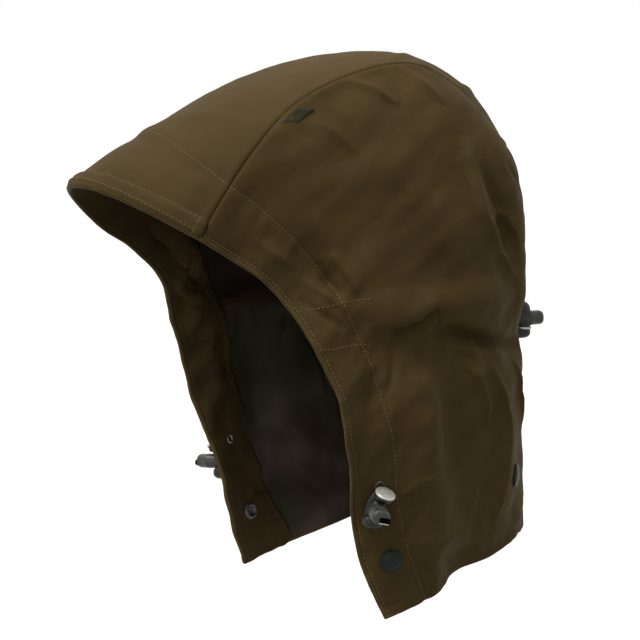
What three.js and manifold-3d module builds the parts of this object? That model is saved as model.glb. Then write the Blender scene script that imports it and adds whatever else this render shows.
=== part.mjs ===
// A detachable jacket hood: a crown panel between two side panels, lined, with a
// faced front casing, an adjuster tunnel, cord locks and press studs.
// Millimetres. The face opening looks along -Y, the wearer's left is +X, up is +Z.
// The origin is the inside of the crown, where the hood rests on a head.
import * as THREE from 'three';
import Module from 'manifold-3d';
import { mergeVertices } from 'three/addons/utils/BufferGeometryUtils.js';

const wasm = await Module();
wasm.setup();

// Overall sizes
const hoodHeight = 367;
const hoodDepth = 338;
const hoodWidth = 216;

// Cloth layers, from the outside in
const clothWall = 1.6;
const liningGap = 0.4;
const liningWall = 1.0;
const facingEase = 0.5;
const seamGap = 0.5;
const layerStack = clothWall + liningGap + liningWall;

// Bands along the face edge
const casingWidth = 32;
const facingWidth = 44;
const gatherDepth = 5;
const gatherCount = 9;

// Press studs
const studCapRadius = 7.8;
const studCapRise = 2.8;
const studSocketRadius = 6.2;
const studSocketRise = 2.6;
const studFromTip = 34.5;
const studFromEdge = 20;
const backStudFromHem = 42;
const backStudFromSeam = 54;

// Cord locks and their eyelets
const lockHeight = 25;
const lockWidth = 14;
const lockRise = 12;
const lockLean = 12;
const buttonRadius = 5.4;
const buttonReach = 26;
const buttonWell = 3;
const lockFromTip = 73;
const lockFromEdge = 18;
const backLockDown = 185;
const backLockAside = 20;
const eyeletRadius = 3.6;
const eyeletBore = 1.7;
const eyeletRise = 1.2;
const eyeletAboveLock = 17;

// Tab held in the left seam
const tabLength = 15.5;
const tabDrop = 7;
const tabSlant = 7;
const tabWall = 0.8;
const tabFromBrow = 92;
const tabFromSeam = 3;

// Clear space under a piece that sits on the cloth, and how far its foot is sunk
// before the cloth's form is cut out of it
const seatGap = 0.3;
const seatSink = 1.5;

// Mesh steps
const rowSteps = 18;
const backSteps = 10;
const acrossSteps = 6;
const roundSides = 14;

// The seam between the crown panel and a side panel, and the centre line behind it,
// from the brow over the crown to the nape. Shares of half the width, depth and height.
const seamRows = [
  { name: 'brow edge', across: 0.657, back: 0.148, up: 0.681, midBack: 0.000, midUp: 0.771 },
  { name: 'peak line', across: 0.657, back: 0.172, up: 0.719, midBack: 0.050, midUp: 0.801 },
  { name: 'forehead', across: 0.648, back: 0.260, up: 0.826, midBack: 0.186, midUp: 0.868 },
  { name: 'front crown', across: 0.611, back: 0.358, up: 0.907, midBack: 0.358, midUp: 0.940 },
  { name: 'crown', across: 0.565, back: 0.506, up: 0.962, midBack: 0.536, midUp: 0.992 },
  { name: 'mid crown', across: 0.546, back: 0.633, up: 0.978, midBack: 0.678, midUp: 1.000 },
  { name: 'rear crown', across: 0.528, back: 0.733, up: 0.943, midBack: 0.806, midUp: 0.966 },
  { name: 'crown corner', across: 0.509, back: 0.816, up: 0.876, midBack: 0.900, midUp: 0.900 },
  { name: 'back of head', across: 0.463, back: 0.902, up: 0.785, midBack: 0.962, midUp: 0.796 },
  { name: 'occiput', across: 0.435, back: 0.934, up: 0.670, midBack: 0.985, midUp: 0.670 },
  { name: 'tunnel', across: 0.417, back: 0.922, up: 0.507, midBack: 0.972, midUp: 0.507 },
  { name: 'neck', across: 0.407, back: 0.945, up: 0.302, midBack: 0.994, midUp: 0.302 },
  { name: 'nape hem', across: 0.407, back: 0.955, up: 0.094, midBack: 1.000, midUp: 0.098 },
];

// The edge of the face opening, from below the brow seam to the front tip
const faceRows = [
  { name: 'brow end', across: 0.676, back: 0.210, up: 0.646 },
  { name: 'temple', across: 0.741, back: 0.266, up: 0.608 },
  { name: 'eye', across: 0.778, back: 0.308, up: 0.564 },
  { name: 'cheekbone', across: 0.880, back: 0.340, up: 0.504 },
  { name: 'cheek', across: 0.972, back: 0.388, up: 0.398 },
  { name: 'jaw', across: 0.954, back: 0.405, up: 0.330 },
  { name: 'jaw corner', across: 0.898, back: 0.428, up: 0.262 },
  { name: 'cord lock', across: 0.815, back: 0.444, up: 0.191 },
  { name: 'stud', across: 0.815, back: 0.467, up: 0.098 },
  { name: 'tip', across: 0.861, back: 0.512, up: 0.000 },
];

// The lower hem, from behind the tip to in front of the nape
const hemRows = [
  { name: 'front hem', across: 0.866, back: 0.591, up: 0.019 },
  { name: 'hem step', across: 0.852, back: 0.635, up: 0.033 },
  { name: 'step top', across: 0.757, back: 0.700, up: 0.058 },
  { name: 'rear hem', across: 0.762, back: 0.795, up: 0.079 },
  { name: 'back hem', across: 0.650, back: 0.885, up: 0.100 },
];

// Half widths of the side panel inside its edges: a row for each level, given by its
// share of the way down, and a column for each place between face edge and back seam
const sectionPlaces = { front: 0.15, cheek: 0.35, rear: 0.65, corner: 0.88 };
const sectionRows = [
  { name: 'shoulder', down: 0.10, front: 0.735, cheek: 0.790, rear: 0.760, corner: 0.620 },
  { name: 'temple', down: 0.26, front: 0.850, cheek: 0.920, rear: 0.905, corner: 0.700 },
  { name: 'ear', down: 0.50, front: 0.985, cheek: 1.000, rear: 0.940, corner: 0.690 },
  { name: 'neck', down: 0.72, front: 0.965, cheek: 1.000, rear: 0.880, corner: 0.640 },
  { name: 'collar', down: 0.88, front: 0.900, cheek: 0.965, rear: 0.810, corner: 0.600 },
];

// Folds and dents of the side panels, placed in side view. Lengths are shares of the
// height, lean is in degrees from upright towards the back, and rise is outward.
const foldRows = [
  { name: 'adjuster tunnel', back: 0.62, up: 0.490, lean: 90, length: 0.46, width: 0.070, rise: -0.011 },
  { name: 'roll over tunnel', back: 0.70, up: 0.560, lean: 86, length: 0.28, width: 0.050, rise: 0.014 },
  { name: 'roll at cheek', back: 0.55, up: 0.570, lean: 70, length: 0.12, width: 0.045, rise: 0.008 },
  { name: 'rear ridge', back: 0.85, up: 0.640, lean: -12, length: 0.26, width: 0.045, rise: 0.014 },
  { name: 'rear valley', back: 0.78, up: 0.660, lean: -10, length: 0.24, width: 0.045, rise: -0.010 },
  { name: 'temple dent', back: 0.36, up: 0.640, lean: -35, length: 0.10, width: 0.045, rise: -0.010 },
  { name: 'neck fold', back: 0.56, up: 0.330, lean: -8, length: 0.20, width: 0.055, rise: 0.010 },
  { name: 'neck hollow', back: 0.66, up: 0.300, lean: -6, length: 0.22, width: 0.055, rise: -0.010 },
  { name: 'nape fold', back: 0.80, up: 0.320, lean: -14, length: 0.22, width: 0.050, rise: 0.012 },
  { name: 'stud ridge', back: 0.800, up: 0.225, lean: -4, length: 0.13, width: 0.045, rise: 0.013 },
  { name: 'crown dent', back: 0.52, up: 0.860, lean: 60, length: 0.16, width: 0.060, rise: -0.008 },
];

// Shape of the crown panel across: a higher power is flatter in the middle
const crownCamber = 2.2;
// Share of the side panel over which a fold dies out at its edges
const foldFade = 0.10;
// Gathers of the side facing: where they are centred down the edge, and how far they reach
const gatherMiddle = 0.46;
const gatherReach = 0.36;
// Spans of the arc length table between two rows of a curve's table
const spanDivisions = 20;

const crownRow = seamRows.findIndex((row) => row.name === 'mid crown');
const cornerRow = seamRows.findIndex((row) => row.name === 'crown corner');

function place(across, back, up) {
  return new THREE.Vector3(
    across * hoodWidth / 2,
    (back - seamRows[crownRow].midBack) * hoodDepth,
    layerStack - (1 - up) * hoodHeight,
  );
}

function curveThrough(points) {
  const curve = new THREE.CatmullRomCurve3(points, false, 'centripetal');
  curve.arcLengthDivisions = (points.length - 1) * spanDivisions;
  return curve;
}

const onSide = (row) => place(row.across, row.back, row.up);
const seam = curveThrough(seamRows.map(onSide));
const centreLine = curveThrough(seamRows.map((row) => place(0, row.midBack, row.midUp)));
const faceEdge = curveThrough([onSide(seamRows[0]), ...faceRows.map(onSide)]);
const hem = curveThrough([
  onSide(faceRows[faceRows.length - 1]),
  ...hemRows.map(onSide),
  onSide(seamRows[seamRows.length - 1]),
]);

const seamLengths = seam.getLengths();
const cornerShare = seamLengths[cornerRow * spanDivisions] / seam.getLength();
const along = (curve, share) => curve.getPointAt(THREE.MathUtils.clamp(share, 0, 1));
const topSeam = (share) => along(seam, share * cornerShare);
const backSeam = (share) => along(seam, cornerShare + share * (1 - cornerShare));
const topSeamLength = seam.getLength() * cornerShare;

// The patch between face edge, top seam, back seam and hem. u runs from the face edge
// to the back, v from the top seam down to the hem.
function edgePatch(u, v) {
  const point = new THREE.Vector3();
  point.addScaledVector(topSeam(u), 1 - v);
  point.addScaledVector(along(hem, u), v);
  point.addScaledVector(along(faceEdge, v), 1 - u);
  point.addScaledVector(backSeam(v), u);
  point.addScaledVector(topSeam(0), -(1 - u) * (1 - v));
  point.addScaledVector(topSeam(1), -u * (1 - v));
  point.addScaledVector(along(hem, 0), -(1 - u) * v);
  point.addScaledVector(along(hem, 1), -u * v);
  return point;
}

// A smooth curve through values, each given at its own share
function smoothAt(shares, values, at) {
  const last = shares.length - 1;
  let i = 0;
  while (i < last - 1 && at > shares[i + 1]) i += 1;
  const slope = (k) => {
    const before = Math.max(k - 1, 0);
    const after = Math.min(k + 1, last);
    return (values[after] - values[before]) / (shares[after] - shares[before]);
  };
  const span = shares[i + 1] - shares[i];
  const t = (at - shares[i]) / span;
  const blend = t * t * (3 - 2 * t);
  const bend = t * (1 - t) ** 2 * slope(i) - t * t * (1 - t) * slope(i + 1);
  return (1 - blend) * values[i] + blend * values[i + 1] + span * bend;
}

const placeNames = Object.keys(sectionPlaces);
const placeShares = [0, ...Object.values(sectionPlaces), 1];
const levelShares = [0, ...sectionRows.map((row) => row.down), 1];
const fullnessRows = sectionRows.map((row) => {
  const fullness = placeNames.map((name) => (
    row[name] * hoodWidth / 2 - edgePatch(sectionPlaces[name], row.down).x
  ));
  return [0, ...fullness, 0];
});

function fullnessAt(u, v) {
  const levels = fullnessRows.map((row) => smoothAt(placeShares, row, u));
  return smoothAt(levelShares, [0, ...levels, 0], v);
}

const bump = (t) => (Math.abs(t) < 1 ? (1 - t * t) ** 2 : 0);
const easeIn = (t) => THREE.MathUtils.smoothstep(t, 0, 1);

function foldsAt(point) {
  let rise = 0;
  for (const row of foldRows) {
    const centre = onSide({ across: 0, ...row });
    const lean = THREE.MathUtils.degToRad(row.lean);
    const back = point.y - centre.y;
    const up = point.z - centre.z;
    const run = back * Math.sin(lean) + up * Math.cos(lean);
    const aside = back * Math.cos(lean) - up * Math.sin(lean);
    const reach = bump(run / (row.length * hoodHeight)) * bump(aside / (row.width * hoodHeight));
    rise += reach * row.rise * hoodHeight;
  }
  return rise;
}

function sidePoint(u, v) {
  const point = edgePatch(u, v);
  const fade = easeIn(u / foldFade) * easeIn((1 - u) / foldFade) * easeIn(v / foldFade);
  point.x += fullnessAt(u, v) + foldsAt(point) * fade;
  return point;
}

// Length of the cloth along a line on it, given by share
function clothLength(pointAt) {
  let length = 0;
  for (let step = 0; step < spanDivisions; step += 1) {
    length += pointAt(step / spanDivisions).distanceTo(pointAt((step + 1) / spanDivisions));
  }
  return length;
}

// From the face edge to the back at one level, and from the top seam to the hem
const levelLength = (v) => clothLength((share) => sidePoint(share, v));
const dropLength = (u) => clothLength((share) => sidePoint(u, share));

// Distances back from the face edge at which the cloth has a line of points
const bandSteps = [0, casingWidth / 2, casingWidth, facingWidth];
const facingStep = bandSteps.length - 1;

function backShares(length) {
  const shares = bandSteps.map((distance) => distance / length);
  const first = shares[facingStep];
  for (let step = 1; step <= backSteps; step += 1) {
    shares.push(first + (1 - first) * step / backSteps);
  }
  return shares;
}

function sideRows(steps) {
  const rows = [];
  for (let i = 0; i <= steps; i += 1) {
    const v = i / steps;
    rows.push(backShares(levelLength(v)).map((u) => sidePoint(u, v)));
  }
  return rows;
}

// The crown panel from the left seam, side 1, to the right one, side -1
function crownPoint(share, side) {
  const edge = along(seam, share);
  const middle = centreLine.getPoint(seam.getUtoTmapping(Math.min(share, 1)));
  const point = edge.clone().lerp(middle, 1 - Math.abs(side) ** crownCamber);
  point.x = edge.x * side;
  return point;
}

// It has a row at each point of its seam with the side panels
function crownRows() {
  const topShares = backShares(topSeamLength).map((share) => share * cornerShare);
  const stations = [...topShares];
  for (let i = 1; i <= rowSteps; i += 1) {
    stations.push(cornerShare + (1 - cornerShare) * i / rowSteps);
  }
  return stations.map((share) => {
    const row = [];
    for (let j = 0; j <= acrossSteps; j += 1) row.push(crownPoint(share, 1 - 2 * j / acrossSteps));
    return row;
  });
}

const between = (list, k) => [list[Math.max(k - 1, 0)], list[Math.min(k + 1, list.length - 1)]];

// The outward direction at each point of a grid, from the faces around it
function gridNormals(rows) {
  const normals = rows.map((row) => row.map(() => new THREE.Vector3()));
  for (let i = 0; i < rows.length - 1; i += 1) {
    for (let j = 0; j < rows[0].length - 1; j += 1) {
      const falling = rows[i + 1][j + 1].clone().sub(rows[i][j]);
      const rising = rows[i][j + 1].clone().sub(rows[i + 1][j]);
      const facing = falling.cross(rising);
      for (const [k, l] of [[i, j], [i + 1, j], [i + 1, j + 1], [i, j + 1]]) normals[k][l].add(facing);
    }
  }
  normals.flat().forEach((normal) => normal.normalize());
  return normals;
}

// Two panels meet in one plane along their seam: this is the offset that both use there
function mitre(normalA, normalB) {
  return normalA.clone().add(normalB).divideScalar(1 + normalA.dot(normalB));
}

// The points and offsets of a panel's edge, walked with the panel on one side
function edgeWalks(rows) {
  const lastRow = rows.length - 1;
  const lastColumn = rows[0].length - 1;
  const down = rows.map((_, i) => i);
  const across = rows[0].map((_, j) => j);
  return {
    top: across.map((j) => [0, j]),
    back: down.map((i) => [i, lastColumn]),
    bottom: across.map((j) => [lastRow, lastColumn - j]),
    front: down.map((i) => [lastRow - i, 0]),
  };
}

// A grid with its named edges drawn in along the cloth
function drawnIn(grid, edges, distance) {
  const points = grid.points.map((row) => row.map((point) => point.clone()));
  const walks = edgeWalks(grid.points);
  for (const edge of edges) {
    const walk = walks[edge];
    walk.forEach(([i, j], k) => {
      const [before, after] = between(walk, k);
      const run = grid.points[after[0]][after[1]].clone();
      run.sub(grid.points[before[0]][before[1]]);
      points[i][j].addScaledVector(run.cross(grid.normals[i][j]).normalize(), distance);
    });
  }
  return { ...grid, points };
}

// A stretch of a grid, by its first and last row and column
function stretch(grid, rowFrom, rowTo, columnFrom, columnTo) {
  const cut = (rows) => rows.slice(rowFrom, rowTo + 1).map((row) => row.slice(columnFrom, columnTo + 1));
  return { points: cut(grid.points), normals: cut(grid.normals), offsets: cut(grid.offsets) };
}

// A closed wall between two depths under a grid. sink may press the wall further in.
function wall(grid, near, far, sink = () => 0) {
  const rowCount = grid.points.length;
  const columnCount = grid.points[0].length;
  const layerSize = rowCount * columnCount;
  const positions = [];
  for (const depth of [near, far]) {
    grid.points.forEach((row, i) => row.forEach((point, j) => {
      const inward = -(depth + sink(i, j));
      positions.push(...point.clone().addScaledVector(grid.offsets[i][j], inward).toArray());
    }));
  }
  const index = [];
  const at = (i, j) => i * columnCount + j;
  for (let i = 0; i < rowCount - 1; i += 1) {
    for (let j = 0; j < columnCount - 1; j += 1) {
      const corners = [at(i, j), at(i + 1, j), at(i + 1, j + 1), at(i, j + 1)];
      const [a, b, c, d] = corners;
      const [e, f, g, h] = corners.map((corner) => corner + layerSize);
      index.push(a, b, d, b, c, d);
      index.push(e, h, f, f, h, g);
    }
  }
  for (const walk of Object.values(edgeWalks(grid.points))) {
    for (let k = 0; k < walk.length - 1; k += 1) {
      const a = at(...walk[k]);
      const b = at(...walk[k + 1]);
      index.push(a, b, b + layerSize, a, b + layerSize, a + layerSize);
    }
  }
  const geometry = new THREE.BufferGeometry();
  geometry.setAttribute('position', new THREE.Float32BufferAttribute(positions, 3));
  geometry.setIndex(index);
  return geometry;
}

// The same geometry on the wearer's right
function mirrored(geometry) {
  const copy = geometry.clone();
  const position = copy.attributes.position;
  for (let k = 0; k < position.count; k += 1) position.setX(k, -position.getX(k));
  const index = copy.index.array;
  for (let k = 0; k < index.length; k += 3) [index[k + 1], index[k + 2]] = [index[k + 2], index[k + 1]];
  return copy;
}

// The side and crown grids with their shared offsets along the seam
function panelGrids() {
  const side = { points: sideRows(rowSteps) };
  side.normals = gridNormals(side.points);
  side.offsets = side.normals.map((row) => [...row]);
  const crown = { points: crownRows() };
  crown.normals = gridNormals(crown.points);
  crown.offsets = crown.normals.map((row) => [...row]);
  const lastColumn = side.points[0].length - 1;
  const chain = [...side.points[0].map((_, j) => [0, j])];
  for (let i = 1; i <= rowSteps; i += 1) chain.push([i, lastColumn]);
  chain.forEach(([i, j], k) => {
    const offset = mitre(side.normals[i][j], crown.normals[k][0]);
    side.offsets[i][j] = offset;
    crown.offsets[k][0] = offset;
    crown.offsets[k][acrossSteps] = offset.clone().setX(-offset.x);
  });
  return { side, crown };
}

// The side facing has twice the rows of its panel, for its gathers
function facingGrid(side) {
  const points = sideRows(rowSteps * 2).map((row) => row.slice(0, facingStep + 1));
  const normals = gridNormals(points);
  const offsets = normals.map((row) => [...row]);
  offsets[0] = side.offsets[0].slice(0, facingStep + 1);
  return { points, normals, offsets };
}

function gatherAt(i, j) {
  const v = i / (rowSteps * 2);
  const across = bump(2 * bandSteps[j] / facingWidth - 1);
  const wave = 0.5 - 0.5 * Math.cos(2 * Math.PI * gatherCount * v);
  return gatherDepth * wave * across * bump((v - gatherMiddle) / gatherReach);
}

const hood = new THREE.Group();

function finish(color, roughness, metalness = 0) {
  return new THREE.MeshStandardMaterial({ color, roughness, metalness });
}

const shellCloth = finish('#5b4e33', 0.85);
const liningCloth = finish('#39322c', 0.8);
const tabCloth = finish('#3a3a30', 0.8);
const lockPlastic = finish('#4b4c48', 0.45);
const eyeletMetal = finish('#5d5c55', 0.4, 0.8);
const studLacquer = finish('#22302a', 0.35, 0.2);

function add(name, geometry, material, parent = hood) {
  const mesh = new THREE.Mesh(geometry, material);
  mesh.name = name;
  parent.add(mesh);
}

function addPair(name, geometry, material) {
  add(`${name}_left`, geometry, material);
  add(`${name}_right`, mirrored(geometry), material);
}

const liningNear = clothWall + liningGap;
const facingNear = liningNear + facingEase;
const facingFar = facingNear + liningWall;

function buildCloth({ side, crown, facing }) {
  const lastRow = side.points.length - 1;
  const lastColumn = side.points[0].length - 1;
  const lastCrownRow = crown.points.length - 1;
  const half = seamGap / 2;

  add('crown_panel', wall(drawnIn(crown, ['front', 'back'], half), 0, clothWall), shellCloth);
  addPair('side_panel', wall(drawnIn(side, ['top', 'back'], half), 0, clothWall), shellCloth);

  const browFacing = drawnIn(
    stretch(crown, 0, facingStep, 0, acrossSteps), ['front', 'back', 'bottom'], half);
  add('brow_facing', wall(browFacing, facingNear, facingFar), shellCloth);
  const sideFacing = drawnIn(drawnIn(facing, ['top'], half), ['back'], seamGap);
  addPair('side_facing', wall(sideFacing, facingNear, facingFar, gatherAt), shellCloth);

  const crownLining = drawnIn(
    stretch(crown, facingStep, lastCrownRow, 0, acrossSteps), ['front', 'back', 'top'], half);
  add('crown_lining', wall(crownLining, liningNear, layerStack), liningCloth);
  const sideLining = drawnIn(
    stretch(side, 0, lastRow, facingStep, lastColumn), ['front', 'top', 'back'], half);
  addPair('side_lining', wall(sideLining, liningNear, layerStack), liningCloth);
}

function solidFrom(geometry) {
  const bare = geometry.clone();
  bare.deleteAttribute('normal');
  bare.deleteAttribute('uv');
  const merged = mergeVertices(bare);
  return new wasm.Manifold(new wasm.Mesh({
    numProp: 3,
    vertProperties: Float32Array.from(merged.attributes.position.array),
    triVerts: Uint32Array.from(merged.index.array),
  }));
}

function geometryFrom(solid) {
  const { vertProperties, triVerts } = solid.getMesh();
  const geometry = new THREE.BufferGeometry();
  geometry.setAttribute('position', new THREE.Float32BufferAttribute(vertProperties, 3));
  geometry.setIndex(Array.from(triVerts));
  return geometry;
}

// The cloth with the clear space that pieces keep to it
function clearances({ side, crown, facing }) {
  const band = wall(side, -seatGap, layerStack + seatGap);
  const gathered = wall(facing, 0, facingFar + seatGap, gatherAt);
  return {
    left: solidFrom(band).add(solidFrom(gathered)),
    right: solidFrom(mirrored(band)).add(solidFrom(mirrored(gathered))),
    crown: solidFrom(wall(crown, -seatGap, layerStack + seatGap)),
  };
}

// Adds a piece in its group with its sunk foot cut back to the form of the cloth
function addSeated(name, geometry, material, group, clearance) {
  group.updateMatrixWorld(true);
  const aroundPiece = clearance.transform(group.matrixWorld.clone().invert().elements);
  add(name, geometryFrom(solidFrom(geometry).subtract(aroundPiece)), material, group);
}

// A group at a place on the cloth: its +Y stands out along a direction, and its +Z runs
// up the cloth, leaning by an angle about that direction
function standing(point, out, lean = 0) {
  const up = new THREE.Vector3(0, 0, 1);
  up.addScaledVector(out, -up.dot(out)).normalize();
  up.applyAxisAngle(out, THREE.MathUtils.degToRad(lean));
  const right = out.clone().cross(up);
  const group = new THREE.Group();
  group.quaternion.setFromRotationMatrix(new THREE.Matrix4().makeBasis(right, out, up));
  group.position.copy(point);
  hood.add(group);
  return group;
}

// The point and outward direction at a place of a surface
function surfaceAt(pointAt, u, v) {
  const step = 0.01;
  const across = pointAt(u + step, v).sub(pointAt(u - step, v));
  const down = pointAt(u, v + step).sub(pointAt(u, v - step));
  return { point: pointAt(u, v), out: down.cross(across).normalize() };
}

const toLeft = new THREE.Vector3(1, 1, 1);
const toRight = new THREE.Vector3(-1, 1, 1);
const sides = [{ name: 'left', turn: toLeft }, { name: 'right', turn: toRight }];

function outsideOf({ point, out }, turn, lean = 0) {
  return standing(point.clone().multiply(turn), out.clone().multiply(turn), -lean * turn.x);
}

// The inner face lies under the layers, and what stands on it points into the hood
function insideOf({ point, out }, turn, depth) {
  const inner = point.clone().addScaledVector(out, -depth);
  return standing(inner.multiply(turn), out.clone().negate().multiply(turn));
}

const profile = (pairs) => pairs.map(([radius, height]) => new THREE.Vector2(radius, height));

// Lathed pieces stand on the cloth at height 0, with their foot sunk below it
function studCap() {
  return new THREE.LatheGeometry(profile([
    [0, -seatSink],
    [studCapRadius * 0.95, -seatSink],
    [studCapRadius, studCapRise * 0.4],
    [studCapRadius * 0.72, studCapRise * 0.92],
    [studCapRadius * 0.45, studCapRise],
    [0, studCapRise],
  ]), roundSides);
}

function studSocket() {
  const wellRadius = studSocketRadius * 0.5;
  const wellFloor = studSocketRise * 0.5;
  return new THREE.LatheGeometry(profile([
    [0, -seatSink],
    [studSocketRadius, -seatSink],
    [studSocketRadius, studSocketRise * 0.6],
    [studSocketRadius * 0.8, studSocketRise],
    [wellRadius, studSocketRise],
    [wellRadius, wellFloor],
    [0, wellFloor],
  ]), roundSides);
}

function eyelet() {
  return new THREE.LatheGeometry(profile([
    [eyeletBore, -seatSink],
    [eyeletRadius, -seatSink],
    [eyeletRadius * 0.85, eyeletRise],
    [eyeletBore, eyeletRise],
    [eyeletBore, -seatSink],
  ]), roundSides);
}

// Side view of the lock body: two round lobes with a notch between them for the button
function lockBody() {
  const half = lockHeight / 2;
  const notch = buttonRadius + seatGap;
  const notchFloor = lockRise / 2;
  const lobe = (half + notch) / 2;
  const shape = new THREE.Shape();
  shape.moveTo(-seatSink, -half);
  shape.lineTo(notchFloor, -half);
  shape.quadraticCurveTo(lockRise, -half, lockRise, -lobe);
  shape.quadraticCurveTo(lockRise, -notch, notchFloor, -notch);
  shape.lineTo(notchFloor, notch);
  shape.quadraticCurveTo(lockRise, notch, lockRise, lobe);
  shape.quadraticCurveTo(lockRise, half, notchFloor, half);
  shape.lineTo(-seatSink, half);
  shape.closePath();
  const geometry = new THREE.ExtrudeGeometry(shape, {
    depth: lockWidth,
    bevelEnabled: false,
    curveSegments: 4,
  });
  geometry.translate(0, 0, -lockWidth / 2);
  // The outline's x stands out of the cloth and its y runs up it
  geometry.applyMatrix4(new THREE.Matrix4().makeBasis(
    new THREE.Vector3(0, 1, 0), new THREE.Vector3(0, 0, 1), new THREE.Vector3(1, 0, 0)));
  return geometry;
}

function lockButton() {
  const foot = lockRise / 2 + seatGap;
  const wellRadius = buttonRadius * 0.6;
  return new THREE.LatheGeometry(profile([
    [0, foot],
    [buttonRadius, foot],
    [buttonRadius, buttonReach - buttonWell / 2],
    [buttonRadius * 0.75, buttonReach],
    [wellRadius, buttonReach],
    [wellRadius, buttonReach - buttonWell],
    [0, buttonReach - buttonWell],
  ]), roundSides);
}

function addLock(name, group, clearance) {
  addSeated(`cord_lock_${name}_body`, lockBody(), lockPlastic, group, clearance);
  add(`cord_lock_${name}_button`, lockButton(), lockPlastic, group);
}

// A place on the side panel measured back from the face edge and up from the tip
function fromTip(aside, up) {
  const v = 1 - up / faceEdge.getLength();
  return surfaceAt(sidePoint, aside / levelLength(v), v);
}

// The same, measured forward from the back seam and up from the nape
function fromNape(aside, up) {
  const v = 1 - up / (seam.getLength() * (1 - cornerShare));
  return surfaceAt(sidePoint, 1 - aside / levelLength(v), v);
}

function buildStuds(place, at, clear, depth) {
  for (const { name, turn } of sides) {
    addSeated(`stud_cap_${place}_${name}`, studCap(), studLacquer, outsideOf(at, turn), clear[name]);
    const inside = insideOf(at, turn, depth);
    addSeated(`stud_socket_${place}_${name}`, studSocket(), studLacquer, inside, clear[name]);
  }
}

function buildSideLocks(clear) {
  const lockAt = fromTip(lockFromEdge, lockFromTip);
  const lean = THREE.MathUtils.degToRad(lockLean);
  const eyeletAt = fromTip(
    lockFromEdge + eyeletAboveLock * Math.sin(lean), lockFromTip + eyeletAboveLock * Math.cos(lean));
  for (const { name, turn } of sides) {
    addLock(name, outsideOf(lockAt, turn, lockLean), clear[name]);
    const outer = outsideOf(eyeletAt, turn);
    addSeated(`cord_eyelet_${name}_outer`, eyelet(), eyeletMetal, outer, clear[name]);
    const inner = insideOf(eyeletAt, turn, facingFar);
    addSeated(`cord_eyelet_${name}_inner`, eyelet(), eyeletMetal, inner, clear[name]);
  }
}

// The back lock stands on the crown panel beside its centre line, at a depth below the origin
function buildBackLock(clear) {
  const shareStep = 0.002;
  let share = 1;
  while (crownPoint(share, 0).z < -backLockDown) share -= shareStep;
  const across = (acrossShare, downShare) => crownPoint(downShare, -acrossShare);
  const aside = -backLockAside / along(seam, share).x;
  const { point, out } = surfaceAt(across, aside, share);
  addLock('back', standing(point, out), clear.crown);
}

// A folded strip lying on the left side panel, held in its top seam
function buildTab(clear) {
  const points = [0, 1].map((down) => [0, 0.5, 1].map((back) => {
    const u = (tabFromBrow + tabLength * back + tabSlant * down) / topSeamLength;
    return sidePoint(u, (tabFromSeam + tabDrop * down) / dropLength(u));
  }));
  const normals = gridNormals(points);
  const strip = wall({ points, normals, offsets: normals }, -(seatGap + tabWall), seatSink);
  addSeated('seam_tab', strip, tabCloth, hood, clear.left);
}

const grids = panelGrids();
grids.facing = facingGrid(grids.side);
const clear = clearances(grids);
buildCloth(grids);
buildStuds('front', fromTip(studFromEdge, studFromTip), clear, facingFar);
buildStuds('back', fromNape(backStudFromSeam, backStudFromHem), clear, layerStack);
buildSideLocks(clear);
buildBackLock(clear);
buildTab(clear);

export default hood;
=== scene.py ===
import bmesh
import bpy
import numpy as np
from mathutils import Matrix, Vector


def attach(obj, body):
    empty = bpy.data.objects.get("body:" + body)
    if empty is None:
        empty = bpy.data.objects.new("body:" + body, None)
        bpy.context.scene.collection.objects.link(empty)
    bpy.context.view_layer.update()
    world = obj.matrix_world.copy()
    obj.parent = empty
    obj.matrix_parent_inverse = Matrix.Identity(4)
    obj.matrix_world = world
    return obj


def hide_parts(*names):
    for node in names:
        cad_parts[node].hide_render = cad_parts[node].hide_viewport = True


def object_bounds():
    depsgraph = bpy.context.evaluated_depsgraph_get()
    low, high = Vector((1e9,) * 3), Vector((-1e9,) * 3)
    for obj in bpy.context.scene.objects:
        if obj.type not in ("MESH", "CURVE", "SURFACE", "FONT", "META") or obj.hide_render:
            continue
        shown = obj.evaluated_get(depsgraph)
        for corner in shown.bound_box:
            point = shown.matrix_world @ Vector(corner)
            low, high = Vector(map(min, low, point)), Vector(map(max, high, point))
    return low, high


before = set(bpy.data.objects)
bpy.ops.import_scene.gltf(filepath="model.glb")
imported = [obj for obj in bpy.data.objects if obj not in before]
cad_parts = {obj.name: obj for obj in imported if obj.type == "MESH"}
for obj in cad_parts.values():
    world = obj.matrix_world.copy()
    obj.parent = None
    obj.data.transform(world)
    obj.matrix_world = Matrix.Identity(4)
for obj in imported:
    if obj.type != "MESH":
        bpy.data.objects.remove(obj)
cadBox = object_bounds()
mm = 0.001
rootBody = "root"
mirrorX = np.array([-1, 1, 1])

# Camera where the photograph was taken from
cameraSpot = {"azimuth": 58.0, "elevation": 6.4, "distance": 1.374, "aim": (0.0, -0.0482, -0.178), "lens": 113.6}


def makeCamera():
    azimuth, elevation = np.radians(cameraSpot["azimuth"]), np.radians(cameraSpot["elevation"])
    back = Vector((np.sin(azimuth) * np.cos(elevation), -np.cos(azimuth) * np.cos(elevation), np.sin(elevation)))
    camera = bpy.data.objects.new("camera", bpy.data.cameras.new("camera"))
    bpy.context.scene.collection.objects.link(camera)
    camera.data.lens = cameraSpot["lens"]
    camera.data.sensor_width = 36.0
    camera.data.clip_end = 60.0
    camera.location = Vector(cameraSpot["aim"]) + back * cameraSpot["distance"]
    camera.rotation_euler = back.to_track_quat("Z", "Y").to_euler()
    bpy.context.scene.camera = camera


makeCamera()
print("camera placed")

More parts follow.
